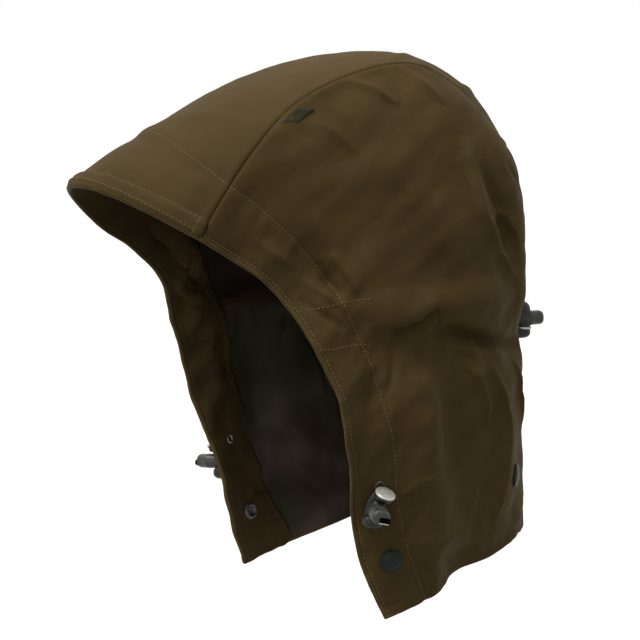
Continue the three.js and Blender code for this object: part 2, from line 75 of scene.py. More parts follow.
# Overall sizes and depths of the layers in mm, as the frame has them
hood = {
    "height": 367.0, "depth": 338.0, "width": 216.0,
    "shell": 1.6, "layers": 3.0, "facingNear": 2.5, "facingFar": 3.5,
    "facing": 44.0, "casing": 32.0, "edgeStitch": 3.6, "hemStitch": 7.0,
    "crownCamber": 2.2, "liningDepth": 2.0, "liningTuck": 4.0, "eyeletProud": 0.5,
}

# Seam between crown and side panels with the centre line behind it:
# (half width, back, up, back on the centre line, up on the centre line), as shares
seamRows = [
    (0.657, 0.148, 0.681, 0.000, 0.771), (0.657, 0.172, 0.719, 0.050, 0.801),
    (0.648, 0.260, 0.826, 0.186, 0.868), (0.611, 0.358, 0.907, 0.358, 0.940),
    (0.565, 0.506, 0.962, 0.536, 0.992), (0.546, 0.633, 0.978, 0.678, 1.000),
    (0.528, 0.733, 0.943, 0.806, 0.966), (0.509, 0.816, 0.876, 0.900, 0.900),
    (0.463, 0.902, 0.785, 0.962, 0.796), (0.435, 0.934, 0.670, 0.985, 0.670),
    (0.417, 0.922, 0.507, 0.972, 0.507), (0.407, 0.945, 0.302, 0.994, 0.302),
    (0.407, 0.955, 0.094, 1.000, 0.098),
]
cornerRow = 7
# Edge of the face opening, from the brow seam to the front tip
faceRows = [
    (0.676, 0.210, 0.646), (0.741, 0.266, 0.608), (0.778, 0.308, 0.564),
    (0.880, 0.340, 0.504), (0.972, 0.388, 0.398), (0.954, 0.405, 0.330),
    (0.898, 0.428, 0.262), (0.815, 0.444, 0.191), (0.815, 0.467, 0.098),
    (0.861, 0.512, 0.000),
]
# Lower hem, from behind the tip to in front of the nape
hemRows = [
    (0.866, 0.591, 0.019), (0.852, 0.635, 0.033), (0.757, 0.700, 0.058),
    (0.762, 0.795, 0.079), (0.650, 0.885, 0.100),
]
# Half widths inside the side panel: share down, then at each of the four places
placeShares = [0.0, 0.15, 0.35, 0.65, 0.88, 1.0]
sectionRows = [
    (0.10, 0.735, 0.790, 0.760, 0.620), (0.26, 0.850, 0.920, 0.905, 0.700),
    (0.50, 0.985, 1.000, 0.940, 0.690), (0.72, 0.965, 1.000, 0.880, 0.640),
    (0.88, 0.900, 0.965, 0.810, 0.600),
]
# Main folds, which the frame's solids have too:
# (back, up, lean in degrees, length, width, rise), lengths as shares of the height
mainFolds = {
    "adjuster tunnel": (0.62, 0.490, 90, 0.46, 0.070, -0.011),
    "roll over tunnel": (0.70, 0.560, 86, 0.28, 0.050, 0.014),
    "roll at cheek": (0.55, 0.570, 70, 0.12, 0.045, 0.008),
    "rear ridge": (0.85, 0.640, -12, 0.26, 0.045, 0.014),
    "rear valley": (0.78, 0.660, -10, 0.24, 0.045, -0.010),
    "temple dent": (0.36, 0.640, -35, 0.10, 0.045, -0.010),
    "neck fold": (0.56, 0.330, -8, 0.20, 0.055, 0.010),
    "neck hollow": (0.66, 0.300, -6, 0.22, 0.055, -0.010),
    "nape fold": (0.80, 0.320, -14, 0.22, 0.050, 0.012),
    "stud ridge": (0.800, 0.225, -4, 0.13, 0.045, 0.013),
    "crown dent": (0.52, 0.860, 60, 0.16, 0.060, -0.008),
}


def placeMm(across, back, up):
    return np.array([across * hood["width"] / 2,
                     (back - seamRows[5][3]) * hood["depth"],
                     hood["layers"] - (1 - up) * hood["height"]])


stepsPerSpan = 20


def pathRuns(path):
    # Length of each span of a path, and the distance run at each of its points
    spans = np.linalg.norm(np.diff(path, axis=0), axis=1)
    return spans, np.concatenate([[0], np.cumsum(spans)])


def readAlong(table, own, at):
    # Points of a table that lie at its own places, read at other ones
    return np.stack([np.interp(at, own, column) for column in table.T], -1)


class SewnLine:
    # Centripetal curve through points, read by its share of length
    def __init__(self, points):
        self.points = np.array(points, float)
        count = (len(points) - 1) * stepsPerSpan
        self.knots = np.linspace(0, 1, count + 1)
        self.lengths = pathRuns(self.at(self.knots))[1]
        self.length = self.lengths[-1]

    def at(self, t):
        p = self.points
        ends = np.vstack([2 * p[0] - p[1], p, 2 * p[-1] - p[-2]])
        t = np.atleast_1d(t) * (len(p) - 1)
        i = np.clip(np.floor(t).astype(int), 0, len(p) - 2)
        w = (t - i)[:, None]
        a, b, c, d = (ends[i + k] for k in range(4))
        g0, g1, g2 = (np.sqrt(np.linalg.norm(q - r, axis=1))[:, None] for q, r in ((b, a), (c, b), (d, c)))
        leave = ((b - a) / g0 - (c - a) / (g0 + g1) + (c - b) / g1) * g1
        arrive = ((c - b) / g1 - (d - b) / (g1 + g2) + (d - c) / g2) * g1
        return (b + leave * w + (3 * (c - b) - 2 * leave - arrive) * w ** 2
                + (2 * (b - c) + leave + arrive) * w ** 3)

    def knotAt(self, share):
        return np.interp(np.clip(share, 0, 1) * self.length, self.lengths, self.knots)

    def along(self, share):
        return self.at(self.knotAt(share))


sideRow = lambda row: placeMm(*row[:3])
seamLine = SewnLine([sideRow(row) for row in seamRows])
centreLine = SewnLine([placeMm(0, row[3], row[4]) for row in seamRows])
faceEdge = SewnLine([sideRow(seamRows[0])] + [sideRow(row) for row in faceRows])
hemLine = SewnLine([sideRow(faceRows[-1])] + [sideRow(row) for row in hemRows] + [sideRow(seamRows[-1])])
cornerShare = seamLine.lengths[cornerRow * stepsPerSpan] / seamLine.length
topSeamLength = seamLine.length * cornerShare


def edgePatch(u, v):
    top = lambda share: seamLine.along(share * cornerShare)
    rear = lambda share: seamLine.along(cornerShare + share * (1 - cornerShare))
    back, down = u[:, None], v[:, None]
    first, last = np.zeros(1), np.ones(1)
    return (top(u) * (1 - down) + hemLine.along(u) * down + faceEdge.along(v) * (1 - back) + rear(v) * back
            - top(first) * (1 - back) * (1 - down) - top(last) * back * (1 - down)
            - hemLine.along(first) * (1 - back) * down - hemLine.along(last) * back * down)


def smoothAt(shares, values, at):
    # Smooth curve through values at their shares; values may differ from point to point
    shares = np.array(shares, float)
    last = len(shares) - 1
    slopes = []
    for k in range(last + 1):
        low, high = max(k - 1, 0), min(k + 1, last)
        slopes.append((values[high] - values[low]) / (shares[high] - shares[low]))
    stacked = np.array([np.broadcast_to(value, at.shape) for value in values])
    slopes = np.array([np.broadcast_to(slope, at.shape) for slope in slopes])
    i = np.clip(np.searchsorted(shares, at) - 1, 0, last - 1)
    k = np.arange(len(at))
    span = shares[i + 1] - shares[i]
    t = (at - shares[i]) / span
    blend = t * t * (3 - 2 * t)
    bend = t * (1 - t) ** 2 * slopes[i, k] - t * t * (1 - t) * slopes[i + 1, k]
    return (1 - blend) * stacked[i, k] + blend * stacked[i + 1, k] + span * bend


levelShares = [0.0] + [row[0] for row in sectionRows] + [1.0]
fullnessRows = []
for sectionRow in sectionRows:
    places = np.array(placeShares[1:-1])
    edgeX = edgePatch(places, np.full(len(places), sectionRow[0]))[:, 0]
    fullnessRows.append([0.0, *(np.array(sectionRow[1:]) * hood["width"] / 2 - edgeX), 0.0])


def fullnessAt(u, v):
    levels = [np.zeros(u.shape)] + [smoothAt(placeShares, row, u) for row in fullnessRows] + [np.zeros(u.shape)]
    return smoothAt(levelShares, levels, v)


bump = lambda t: np.where(np.abs(t) < 1, (1 - np.minimum(t * t, 1)) ** 2, 0)
easeIn = lambda t: np.clip(t, 0, 1) ** 2 * (3 - 2 * np.clip(t, 0, 1))


def mainFoldsAt(points):
    rise = np.zeros(len(points))
    for back, up, leanDegrees, length, width, height in mainFolds.values():
        centre = placeMm(0, back, up)
        lean = np.radians(leanDegrees)
        y, z = points[:, 1] - centre[1], points[:, 2] - centre[2]
        run = y * np.sin(lean) + z * np.cos(lean)
        aside = y * np.cos(lean) - z * np.sin(lean)
        tall = hood["height"]
        rise += bump(run / (length * tall)) * bump(aside / (width * tall)) * height * tall
    return rise


edgeFade = 0.1  # share of the panel over which its main folds flatten towards a seam


def sidePoints(u, v):
    points = edgePatch(u, v)
    fade = easeIn(u / edgeFade) * easeIn((1 - u) / edgeFade) * easeIn(v / edgeFade)
    points[:, 0] += fullnessAt(u, v) + mainFoldsAt(points) * fade
    return points


def crownPoints(share, side):
    edge = seamLine.along(share)
    middle = centreLine.at(seamLine.knotAt(share))
    points = edge + (middle - edge) * (1 - np.abs(side) ** hood["crownCamber"])[:, None]
    points[:, 0] = edge[:, 0] * side
    return points


# Fine folds of a side panel: (width, rise, below, path). Width and rise are in mm, below is how
# wide the lower or rear side is against the other, and a path is (back, up) in thousandths
fineFolds = {
    "crease before tunnel": (6.0, -7.6, 1.25, [(485, 512), (520, 514), (555, 523), (600, 549)]),
    "bulge over front crease": (9.0, 3.8, 0.42, [(470, 526), (520, 529), (560, 541), (605, 564)]),
    "crease behind tunnel": (6.4, -9.0, 1.25, [(590, 508), (646, 511), (690, 500), (725, 487), (823, 473), (875, 465)]),
    "bulge over rear crease": (9.5, 5.0, 0.42, [(606, 522), (655, 525), (700, 513), (745, 497), (825, 484)]),
    "lip under rear crease": (6.1, 2.6, 1.0, [(620, 488), (690, 470), (780, 452)]),
    "ridge down the back": (6.5, 4.6, 0.7, [(690, 850), (700, 801), (714, 719), (749, 661), (803, 617), (832, 580)]),
    "valley down the back": (8.5, -5.0, 1.0, [(725, 800), (767, 735), (796, 683), (818, 635)]),
    "outer back ridge": (5.0, 3.2, 0.8, [(745, 722), (797, 704), (821, 669), (830, 640)]),
    "thin ridge at the neck": (3.7, 4.1, 0.5, [(732, 445), (752, 415), (773, 382), (790, 340), (800, 285)]),
    "thin ridge by the seam": (3.4, 3.2, 0.6, [(824, 441), (850, 405), (872, 361), (880, 310)]),
    "soft fold behind casing": (9.6, 1.9, 1.0, [(476, 480), (484, 430), (494, 380), (503, 328)]),
    "soft fold at the neck": (12.0, 2.2, 1.0, [(560, 450), (575, 390), (582, 320), (585, 250)]),
    "fold to the thin ridge": (6.1, 3.2, 0.6, [(660, 455), (700, 425), (725, 380), (740, 320)]),
    "drop over the stud": (6.1, 2.8, 0.7, [(800, 270), (790, 200), (775, 140)]),
    "hollow by the stud": (7.5, -1.9, 1.0, [(740, 250), (730, 180), (715, 120)]),
    "collar swell": (10.4, 2.1, 1.0, [(640, 160), (700, 130), (760, 130)]),
    "pull at the front stud": (4.1, 2.2, 1.0, [(530, 130), (580, 135), (640, 160)]),
    "pull from the lock": (4.8, 1.9, 1.0, [(520, 220), (560, 250), (610, 260)]),
    "temple dent": (4.8, -3.5, 0.7, [(330, 578), (368, 548), (408, 521)]),
    "temple ridge": (4.8, 3.2, 0.7, [(340, 610), (372, 585), (412, 556)]),
    "pinch at the casing": (4.1, -4.7, 0.8, [(372, 640), (388, 605), (404, 580)]),
    "pinch beside it": (4.8, 3.0, 0.8, [(395, 655), (418, 615), (432, 585)]),
    "brow pull": (4.8, 2.2, 1.0, [(250, 680), (290, 650), (330, 628)]),
    "pucker off the crown seam": (6.1, 3.5, 0.6, [(470, 952), (520, 930), (567, 904)]),
    "second pucker off the seam": (6.1, 3.2, 0.6, [(600, 972), (630, 940), (665, 905)]),
    "pucker under the tab": (6.8, 2.4, 0.8, [(380, 880), (420, 855), (455, 820)]),
    "fall from the front crease": (4.5, -3.0, 1.4, [(500, 505), (502, 470), (492, 425), (478, 395)]),
    "second fall": (4.5, -2.2, 1.5, [(545, 512), (556, 470), (560, 430)]),
    "third fall": (5.0, 2.3, 1.2, [(628, 500), (632, 462), (622, 425), (610, 395)]),
    "fourth fall": (4.5, 2.0, 1.2, [(692, 488), (704, 452), (712, 420)]),
    "dip behind the casing": (5.5, -3.0, 1.3, [(458, 455), (462, 420), (455, 385)]),
    "crease above the lock": (4.0, -2.0, 1.2, [(432, 330), (442, 290), (436, 255)]),
    "hollow by the front stud": (6.0, -2.2, 1.2, [(575, 215), (560, 180), (548, 150)]),
    "dent over the lock": (8.5, -1.8, 1.2, [(470, 300), (500, 265), (520, 225)]),
    "swell under the lock": (9.0, 1.6, 0.9, [(500, 200), (540, 170), (560, 130)]),
    "dent over the hem": (7.6, -1.7, 1.2, [(600, 120), (640, 105), (680, 80)]),
    "upper dent of the cheek": (8.0, -1.9, 1.3, [(430, 440), (452, 400), (470, 350)]),
    "line at the rear seam": (4.2, -2.6, 1.0, [(805, 805), (838, 771), (872, 745)]),
    "long drape of the side": (20.8, 2.4, 0.8, [(480, 820), (560, 760), (620, 690), (650, 620)]),
}

# Folds of the crown panel, with paths as (along the seam, aside from -1000 to 1000)
crownFolds = {
    "brow fold": (11.0, 1.0, 0.6, [(120, -750), (106, -150), (98, 250), (92, 500)]),
    "hollow before brow fold": (7.9, -1.6, 1.0, [(95, -600), (84, 0), (74, 500), (62, 850)]),
    "dent before the casing": (8.0, -1.1, 1.0, [(66, 300), (60, 680), (58, 880)]),
    "second brow fold": (9.0, 1.5, 0.7, [(135, -100), (135, 250), (137, 600), (140, 900)]),
    "crown pull": (7.9, 1.5, 0.8, [(330, 950), (360, 550), (380, 150)]),
    "top pull": (7.9, 1.5, 0.8, [(430, 950), (450, 550), (470, 200)]),
    "rear pull": (7.9, 1.4, 0.8, [(520, 950), (535, 600), (560, 250)]),
}

# Relief along seams and stitches, and the soft unevenness of worn cloth, in mm
clothRelief = {
    "seamSink": 1.4, "seamSinkWidth": 0.75, "seamSwell": 0.35, "seamSwellAt": 4.0, "seamSwellReach": 3.6,
    "stitchSink": 0.65, "stitchSinkWidth": 1.6, "seamFade": 9.0, "hardwareFade": 22.0,
    "puckerRise": 1.1, "puckerLength": 9.5, "puckerWidth": 25.0, "puckerReach": 11.0, "casingPucker": 1.3,
    "crispPower": 1.3, "crispBelow": 7.5, "roundPower": 2.0, "foldEnds": 0.6, "foldTight": 1.5,
    "casingFlare": 6.5, "casingFlareReach": 62.0,
    "bandWidth": 12.0, "bandRise": 2.3, "bandStart": 4.0, "bandStep": 1.4, "bandEarly": 0.6,
    "softRise": 1.6, "softScale": 48.0, "creaseRise": 1.35, "creaseLength": 42.0, "creaseScale": 15.0,
    "grainRise": 0.16, "grainScale": 7.0,
}
crownRelief = {
    "halfWidth": 55.0, "softRise": 0.8, "softScale": (46.0, 40.0), "pullRise": 0.45, "pullScale": (16.0, 44.0),
    "pullSlant": 60.0, "grainRise": 0.15, "edgeSink": 5.0, "sidesApart": 31.0, "lockFade": 26.0,
}


noiseCells, noiseGain = 64, 1.4


def cloudNoise(x, y, seed):
    # Smooth noise between about -1 and 1, the same for the same seed
    table = np.random.default_rng(seed).uniform(0, 2 * np.pi, (noiseCells, noiseCells))
    i, j = np.floor(x).astype(int), np.floor(y).astype(int)
    fx, fy = x - i, y - j
    wx, wy = fx ** 3 * (fx * (6 * fx - 15) + 10), fy ** 3 * (fy * (6 * fy - 15) + 10)
    total = 0.0
    for a in (0, 1):
        for b in (0, 1):
            angle = table[(i + a) % noiseCells, (j + b) % noiseCells]
            pull = np.cos(angle) * (fx - a) + np.sin(angle) * (fy - b)
            total = total + pull * (wx if a else 1 - wx) * (wy if b else 1 - wy)
    return total * noiseGain


def foldField(x, y, folds, toFlat):
    # Height of folds drawn as paths on a flat view of the cloth
    height = np.zeros(x.shape)
    for width, rise, below, drawn in folds.values():
        path = np.array([toFlat(*spot) for spot in np.array(drawn) / 1000])
        lengths, runs = pathRuns(path)
        nearest = np.full(x.shape, 1e9)
        where = np.zeros(x.shape)
        sideOf = np.ones(x.shape)
        for k in range(len(path) - 1):
            step = (path[k + 1] - path[k]) / lengths[k]
            dx, dy = x - path[k][0], y - path[k][1]
            run = np.clip(dx * step[0] + dy * step[1], 0, lengths[k])
            away = np.hypot(dx - run * step[0], dy - run * step[1])
            closer = away < nearest
            nearest = np.where(closer, away, nearest)
            where = np.where(closer, runs[k] + run, where)
            sideOf = np.where(closer, np.sign(dx * step[1] - dy * step[0]), sideOf)
        reach = np.where(sideOf > 0, width * below, width)
        ends = np.sin(np.pi * np.clip(where / runs[-1], 0, 1)) ** clothRelief["foldEnds"]
        # Thin folds come to a crisp line, broad ones roll over
        power = clothRelief["crispPower" if width < clothRelief["crispBelow"] else "roundPower"]
        height += rise * np.exp(-(nearest / reach * clothRelief["foldTight"]) ** power) * ends
    return height


def gridNormals(points):
    down, across = np.gradient(points, axis=0), np.gradient(points, axis=1)
    normals = np.cross(down, across)
    normals /= np.maximum(np.linalg.norm(normals, axis=2, keepdims=True), 1e-9)
    # Where two edges of a panel run on in one line, the corner has no direction of its own
    rows, columns = normals.shape[:2]
    for i, inner in ((0, 1), (-1, -2)):
        for j, beside in ((0, 1), (-1, -2)):
            row, column = inner if min(rows, columns) > 2 else i, beside if columns > 2 else j
            normals[i, j] = normals[row, column]
    return normals


def runAlong(points, axis):
    steps = np.linalg.norm(np.diff(points, axis=axis), axis=2)
    start = np.zeros((points.shape[0], 1) if axis == 1 else (1, points.shape[1]))
    return np.concatenate([start, np.cumsum(steps, axis=axis)], axis=axis)


def seamShape(distance):
    # The cloth turns down into a seam, with the folded allowance swelling beside it
    relief = clothRelief
    sink = -relief["seamSink"] * np.exp(-(distance / relief["seamSinkWidth"]) ** 2)
    return sink + relief["seamSwell"] * bump((distance - relief["seamSwellAt"]) / relief["seamSwellReach"])


def stitchShape(distance):
    return -clothRelief["stitchSink"] * np.exp(-(distance / clothRelief["stitchSinkWidth"]) ** 2)


def casingAt(fromTop):
    # Distance of the casing stitches from the face edge, which widens towards the crown seam
    return hood["casing"] + clothRelief["casingFlare"] * (1 - easeIn(fromTop / clothRelief["casingFlareReach"]))


def bandShape(fromBrow):
    # The brow's folded band stands up from the edge and drops at its stitches
    relief = clothRelief
    drop = easeIn((fromBrow - relief["bandWidth"] + relief["bandEarly"]) / relief["bandStep"])
    return relief["bandRise"] * easeIn(fromBrow / relief["bandStart"]) * (1 - drop)


def puckers(along, distance, seed):
    relief = clothRelief
    wave = cloudNoise(along / relief["puckerLength"], distance / relief["puckerWidth"] + 7.3, seed)
    return relief["puckerRise"] * wave * np.exp(-np.abs(distance) / relief["puckerReach"])


def meshSteps(count, fine):
    # Shares from 0 to 1 with extra steps close to both ends
    near = np.array(fine)
    return np.concatenate([near, np.linspace(near[-1], 1 - near[-1], count)[1:-1], (1 - near)[::-1]])


edgeFine = [0.0, 0.0012, 0.003, 0.006, 0.010, 0.015, 0.022]
uSteps = meshSteps(150, edgeFine)
vSteps = meshSteps(190, edgeFine)

# Places of the hardware, measured on the cloth as the frame's own parts are
hardware = {
    "lockFromTip": 73.0, "lockFromEdge": 18.0, "lockLean": 12.0, "eyeletAboveLock": 13.5,
    "studFromTip": 34.5, "studFromEdge": 20.0, "backStudFromHem": 42.0, "backStudFromSeam": 54.0,
    "backLockDown": 185.0, "backLockAside": 20.0,
}


def levelLength(v):
    return pathRuns(sidePoints(np.linspace(0, 1, 21), np.full(21, v)))[0].sum()


def fromTip(aside, up):
    v = 1 - up / faceEdge.length
    return aside / levelLength(v), v


def fromNape(aside, up):
    v = 1 - up / (seamLine.length * (1 - cornerShare))
    return 1 - aside / levelLength(v), v


leanAngle = np.radians(hardware["lockLean"])
spots = {
    "lock": fromTip(hardware["lockFromEdge"], hardware["lockFromTip"]),
    "eyelet": fromTip(hardware["lockFromEdge"] + hardware["eyeletAboveLock"] * np.sin(leanAngle),
                      hardware["lockFromTip"] + hardware["eyeletAboveLock"] * np.cos(leanAngle)),
    "frontStud": fromTip(hardware["studFromEdge"], hardware["studFromTip"]),
    "backStud": fromNape(hardware["backStudFromSeam"], hardware["backStudFromHem"]),
}


def spotFrame(pointsAt, u, v):
    # The point and outward direction at a place of a surface, as the frame's parts use them
    step = 0.01
    at = lambda a, b: pointsAt(np.array([a]), np.array([b]))[0]
    out = np.cross(at(u, v + step) - at(u, v - step), at(u + step, v) - at(u - step, v))
    return at(u, v), out / np.linalg.norm(out)


def clothSide(seed):
    # The outer surface of the left side panel as a grid of points, with its distances
    uGrid, vGrid = np.meshgrid(uSteps, vSteps)
    base = sidePoints(uGrid.ravel(), vGrid.ravel()).reshape(uGrid.shape + (3,))
    normals = gridNormals(base)
    fromFront, fromTop = runAlong(base, 1), runAlong(base, 0)
    fromBack = fromFront[:, -1:] - fromFront
    fromHem = fromTop[-1:, :] - fromTop
    relief = clothRelief
    y, z = base[:, :, 1], base[:, :, 2]
    height = foldField(y, z, fineFolds, lambda back, up: placeMm(0, back, up)[1:])
    soft, grain = relief["softScale"], relief["grainScale"]
    height += relief["softRise"] * cloudNoise(y / soft + 11, z / soft, seed)
    slant = (y * 0.8 + z * 0.6) / relief["creaseLength"], (z * 0.8 - y * 0.6) / relief["creaseScale"]
    height += relief["creaseRise"] * cloudNoise(*slant, seed + 1)
    height += relief["grainRise"] * cloudNoise(y / grain, z / grain, seed + 2)
    height += puckers(fromFront, fromTop, seed + 3) + puckers(fromTop, fromBack, seed + 4)
    height += puckers(fromTop, fromFront - hood["casing"], seed + 5) * relief["casingPucker"]
    height += puckers(fromFront, fromHem - hood["hemStitch"], seed + 6)
    # Calm round the hardware
    for u, v in spots.values():
        spot = sidePoints(np.array([u]), np.array([v]))[0]
        height *= 1 - bump(np.linalg.norm(base - spot, axis=2) / relief["hardwareFade"])
    height *= easeIn(fromTop / relief["seamFade"]) * easeIn(fromBack / relief["seamFade"])
    calm = base + normals * height[:, :, None]
    height += stitchShape(fromFront - casingAt(fromTop)) + stitchShape(fromFront - hood["edgeStitch"])
    height += stitchShape(fromHem - hood["hemStitch"]) + seamShape(np.minimum(fromTop, fromBack))
    return {"points": base + normals * height[:, :, None], "calm": calm, "fromFront": fromFront,
            "fromTop": fromTop, "fromBack": fromBack}


crownSteps = meshSteps(300, [0.0, 0.0006, 0.0015, 0.003, 0.005])
acrossSides = 1 - 2 * meshSteps(56, [0.0, 0.0035, 0.008, 0.014, 0.022, 0.034])


def clothCrown(seed, clearSpots):
    # The outer surface of the crown panel, from brow to nape and from left to right
    shares, sides = np.meshgrid(crownSteps, acrossSides, indexing="ij")
    base = crownPoints(shares.ravel(), sides.ravel()).reshape(shares.shape + (3,))
    normals = gridNormals(base)
    fromBrow, fromLeft = runAlong(base, 0), runAlong(base, 1)
    fromSeam = np.minimum(fromLeft, fromLeft[:, -1:] - fromLeft)
    relief = crownRelief
    half = relief["halfWidth"]
    along, across = shares * seamLine.length, sides * half
    height = foldField(along, across, crownFolds, lambda share, side: (share * seamLine.length, side * half))
    soft, pull, grain = relief["softScale"], relief["pullScale"], clothRelief["grainScale"]
    height += relief["softRise"] * cloudNoise(along / soft[0], across / soft[1] + 3, seed)
    slanted = along / pull[0] + across / relief["pullSlant"]
    height += relief["pullRise"] * cloudNoise(slanted, across / pull[1], seed + 1)
    height += relief["grainRise"] * cloudNoise(along / grain, across / grain, seed + 2)
    height += puckers(along + np.sign(sides) * relief["sidesApart"], fromSeam, seed + 3)
    height += puckers(across, fromBrow - clothRelief["bandWidth"], seed + 4)
    for spot, reach in clearSpots:
        height *= 1 - bump(np.linalg.norm(base - spot, axis=2) / reach)
    height *= easeIn(fromSeam / clothRelief["seamFade"])
    calm = base + normals * height[:, :, None]
    height += bandShape(fromBrow) + stitchShape(fromBrow - clothRelief["bandWidth"])
    height += stitchShape(fromBrow - relief["edgeSink"]) + seamShape(fromSeam)
    return {"points": base + normals * height[:, :, None], "calm": calm, "fromBrow": fromBrow,
            "fromSeam": fromSeam, "fromLeft": fromLeft, "shares": shares, "sides": sides}


def linkMesh(name, vertices, faces, uv=None):
    mesh = bpy.data.meshes.new(name)
    mesh.from_pydata((np.asarray(vertices) * mm).tolist(), [], [list(map(int, face)) for face in faces])
    if uv is not None:
        layer = mesh.uv_layers.new(name="cloth")
        corner = np.zeros(len(mesh.loops), np.int32)
        mesh.loops.foreach_get("vertex_index", corner)
        layer.data.foreach_set("uv", (np.asarray(uv)[corner] * mm).ravel())
    mesh.polygons.foreach_set("use_smooth", [True] * len(mesh.polygons))
    mesh.validate()
    piece = bpy.data.objects.new(name, mesh)
    bpy.context.scene.collection.objects.link(piece)
    return piece


def keep(piece, material, slot, *nodes):
    # Gives a finished piece its material and its place in the frame
    piece.data.materials.clear()
    piece.data.materials.append(material)
    if nodes:
        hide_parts(*nodes)
    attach(piece, rootBody)


def gridWall(near, far):
    # Vertices and faces of a closed wall between two grids, near side outwards
    rows, columns = near.shape[:2]
    size = rows * columns
    spots = np.arange(size).reshape(rows, columns)
    a, b, c, d = spots[:-1, :-1], spots[1:, :-1], spots[1:, 1:], spots[:-1, 1:]
    outer = np.stack([a, b, c, d], -1).reshape(-1, 4)
    faces = [outer, outer[:, ::-1] + size]
    for walk in (spots[0, :], spots[:, -1], spots[-1, ::-1], spots[::-1, 0]):
        faces.append(np.stack([walk[:-1], walk[1:], walk[1:] + size, walk[:-1] + size], -1))
    return np.vstack([near.reshape(-1, 3), far.reshape(-1, 3)]), np.vstack(faces)


def clothWall(name, near, far, runs, mirror=False):
    vertices, faces = gridWall(near, far)
    uv = np.tile(np.stack(runs, -1).reshape(-1, 2), (2, 1))
    if mirror:
        vertices = vertices * mirrorX
        faces = faces[:, ::-1]
    return linkMesh(name, vertices, faces, uv)


facingColumns = np.linspace(0, 1, 30)


def rowPoints(grid, distance, placesAlong):
    # New points for each row of a grid, at places given from the distances along it
    return np.array([readAlong(points, runs, placesAlong(runs)) for points, runs in zip(grid, distance)])


def stretchOf(grid, distance, limit):
    # The front of a grid, up to a distance from its edge
    return rowPoints(grid, distance, lambda runs: facingColumns * limit)


def restOf(grid, distance, limit, count):
    # What is left behind that distance
    return rowPoints(grid, distance, lambda runs: np.linspace(limit, runs[-1], count))


ropeSide = 1.2  # width of one side of a rim in its cloth pattern, in mm


def ropeMesh(name, path, radii, outward, sides=10):
    # A closed rim of oval section along a path; radii are (across the cloth, along the cloth)
    path = np.asarray(path)
    tangent = np.gradient(path, axis=0)
    tangent /= np.linalg.norm(tangent, axis=1, keepdims=True)
    aside = np.cross(tangent, outward)
    aside /= np.linalg.norm(aside, axis=1, keepdims=True)
    lift = np.cross(aside, tangent)
    angles = np.arange(sides) / sides * 2 * np.pi
    rings = (path[:, None, :] + lift[:, None, :] * (np.cos(angles) * radii[0])[None, :, None]
             + aside[:, None, :] * (np.sin(angles) * radii[1])[None, :, None])
    spots = np.arange(len(path) * sides).reshape(len(path), sides)
    after = np.roll(spots, -1, axis=1)
    faces = np.stack([spots[:-1], after[:-1], after[1:], spots[1:]], -1).reshape(-1, 4).tolist()
    faces += [spots[0][::-1].tolist(), spots[-1].tolist()]
    runs = np.broadcast_arrays(pathRuns(path)[1][:, None], np.cumsum(np.full(sides, ropeSide))[None, :])
    uv = np.stack(runs, -1).reshape(-1, 2)
    piece = linkMesh(name, rings.reshape(-1, 3), faces, uv)
    turnOutward(piece)
    return piece


def turnOutward(piece):
    work = bmesh.new()
    work.from_mesh(piece.data)
    bmesh.ops.remove_doubles(work, verts=work.verts, dist=1e-6)
    bmesh.ops.recalc_face_normals(work, faces=work.faces)
    work.to_mesh(piece.data)
    work.free()


def joined(name, pieces):
    # Several meshes as one piece
    vertices, faces, base = [], [], 0
    for mesh in [piece.data for piece in pieces]:
        spots = np.zeros(len(mesh.vertices) * 3)
        mesh.vertices.foreach_get("co", spots)
        vertices.append(spots.reshape(-1, 3) / mm)
        faces += [[base + k for k in face.vertices] for face in mesh.polygons]
        base += len(mesh.vertices)
    for piece in pieces:
        bpy.data.objects.remove(piece)
    return linkMesh(name, np.vstack(vertices), faces)


# Small parts stand in a frame of their own: x right, y out of the cloth, z up it
def standing(point, out, lean=0.0):
    out = np.asarray(out) / np.linalg.norm(out)
    up = np.array([0, 0, 1.0]) - out * out[2]
    up /= np.linalg.norm(up)
    angle = np.radians(lean)
    up = up * np.cos(angle) + np.cross(out, up) * np.sin(angle)
    return {"point": np.asarray(point), "axes": np.array([np.cross(out, up), out, up])}


def mirroredSeat(seat):
    # The same seat on the wearer's right
    axes = seat["axes"] * mirrorX
    axes[0] = -axes[0]
    return {"point": seat["point"] * mirrorX, "axes": axes}


def fromSeat(seat, local):
    return seat["point"] + np.asarray(local) @ seat["axes"]


def ringPiece(name, seat, rings):
    # A closed piece from rings of points, which end in a point or meet
    rows, sides = rings.shape[:2]
    spotsOf = np.arange(rows * sides).reshape(rows, sides)
    after = np.roll(spotsOf, -1, axis=1)
    faces = np.stack([spotsOf[:-1], spotsOf[1:], after[1:], after[:-1]], -1).reshape(-1, 4).tolist()
    piece = linkMesh(name, fromSeat(seat, rings.reshape(-1, 3)), faces)
    turnOutward(piece)
    return piece


def tilted(y, z, degrees):
    angle = np.radians(degrees)
    return y * np.cos(angle) - z * np.sin(angle), y * np.sin(angle) + z * np.cos(angle)


def turned(name, seat, outline, sides=40, centre=(0, 0, 0), axis=None):
    # A closed turned piece: outline is (radius, height) from its foot to its top or back to its foot
    radius, height = np.array(outline, float).T
    angles = np.arange(sides) / sides * 2 * np.pi
    x = radius[:, None] * np.cos(angles)
    z = radius[:, None] * np.sin(angles)
    y = np.broadcast_to(height[:, None], x.shape)
    local = np.stack([x, y, z], -1)
    if axis is not None:
        lift = np.asarray(axis, float) / np.linalg.norm(axis)
        right = np.cross(lift, [0, 0, 1.0]) if abs(lift[2]) < 0.99 else np.array([1.0, 0, 0])
        right /= np.linalg.norm(right)
        local = local @ np.array([right, lift, np.cross(right, lift)])
    return ringPiece(name, seat, local + np.asarray(centre))


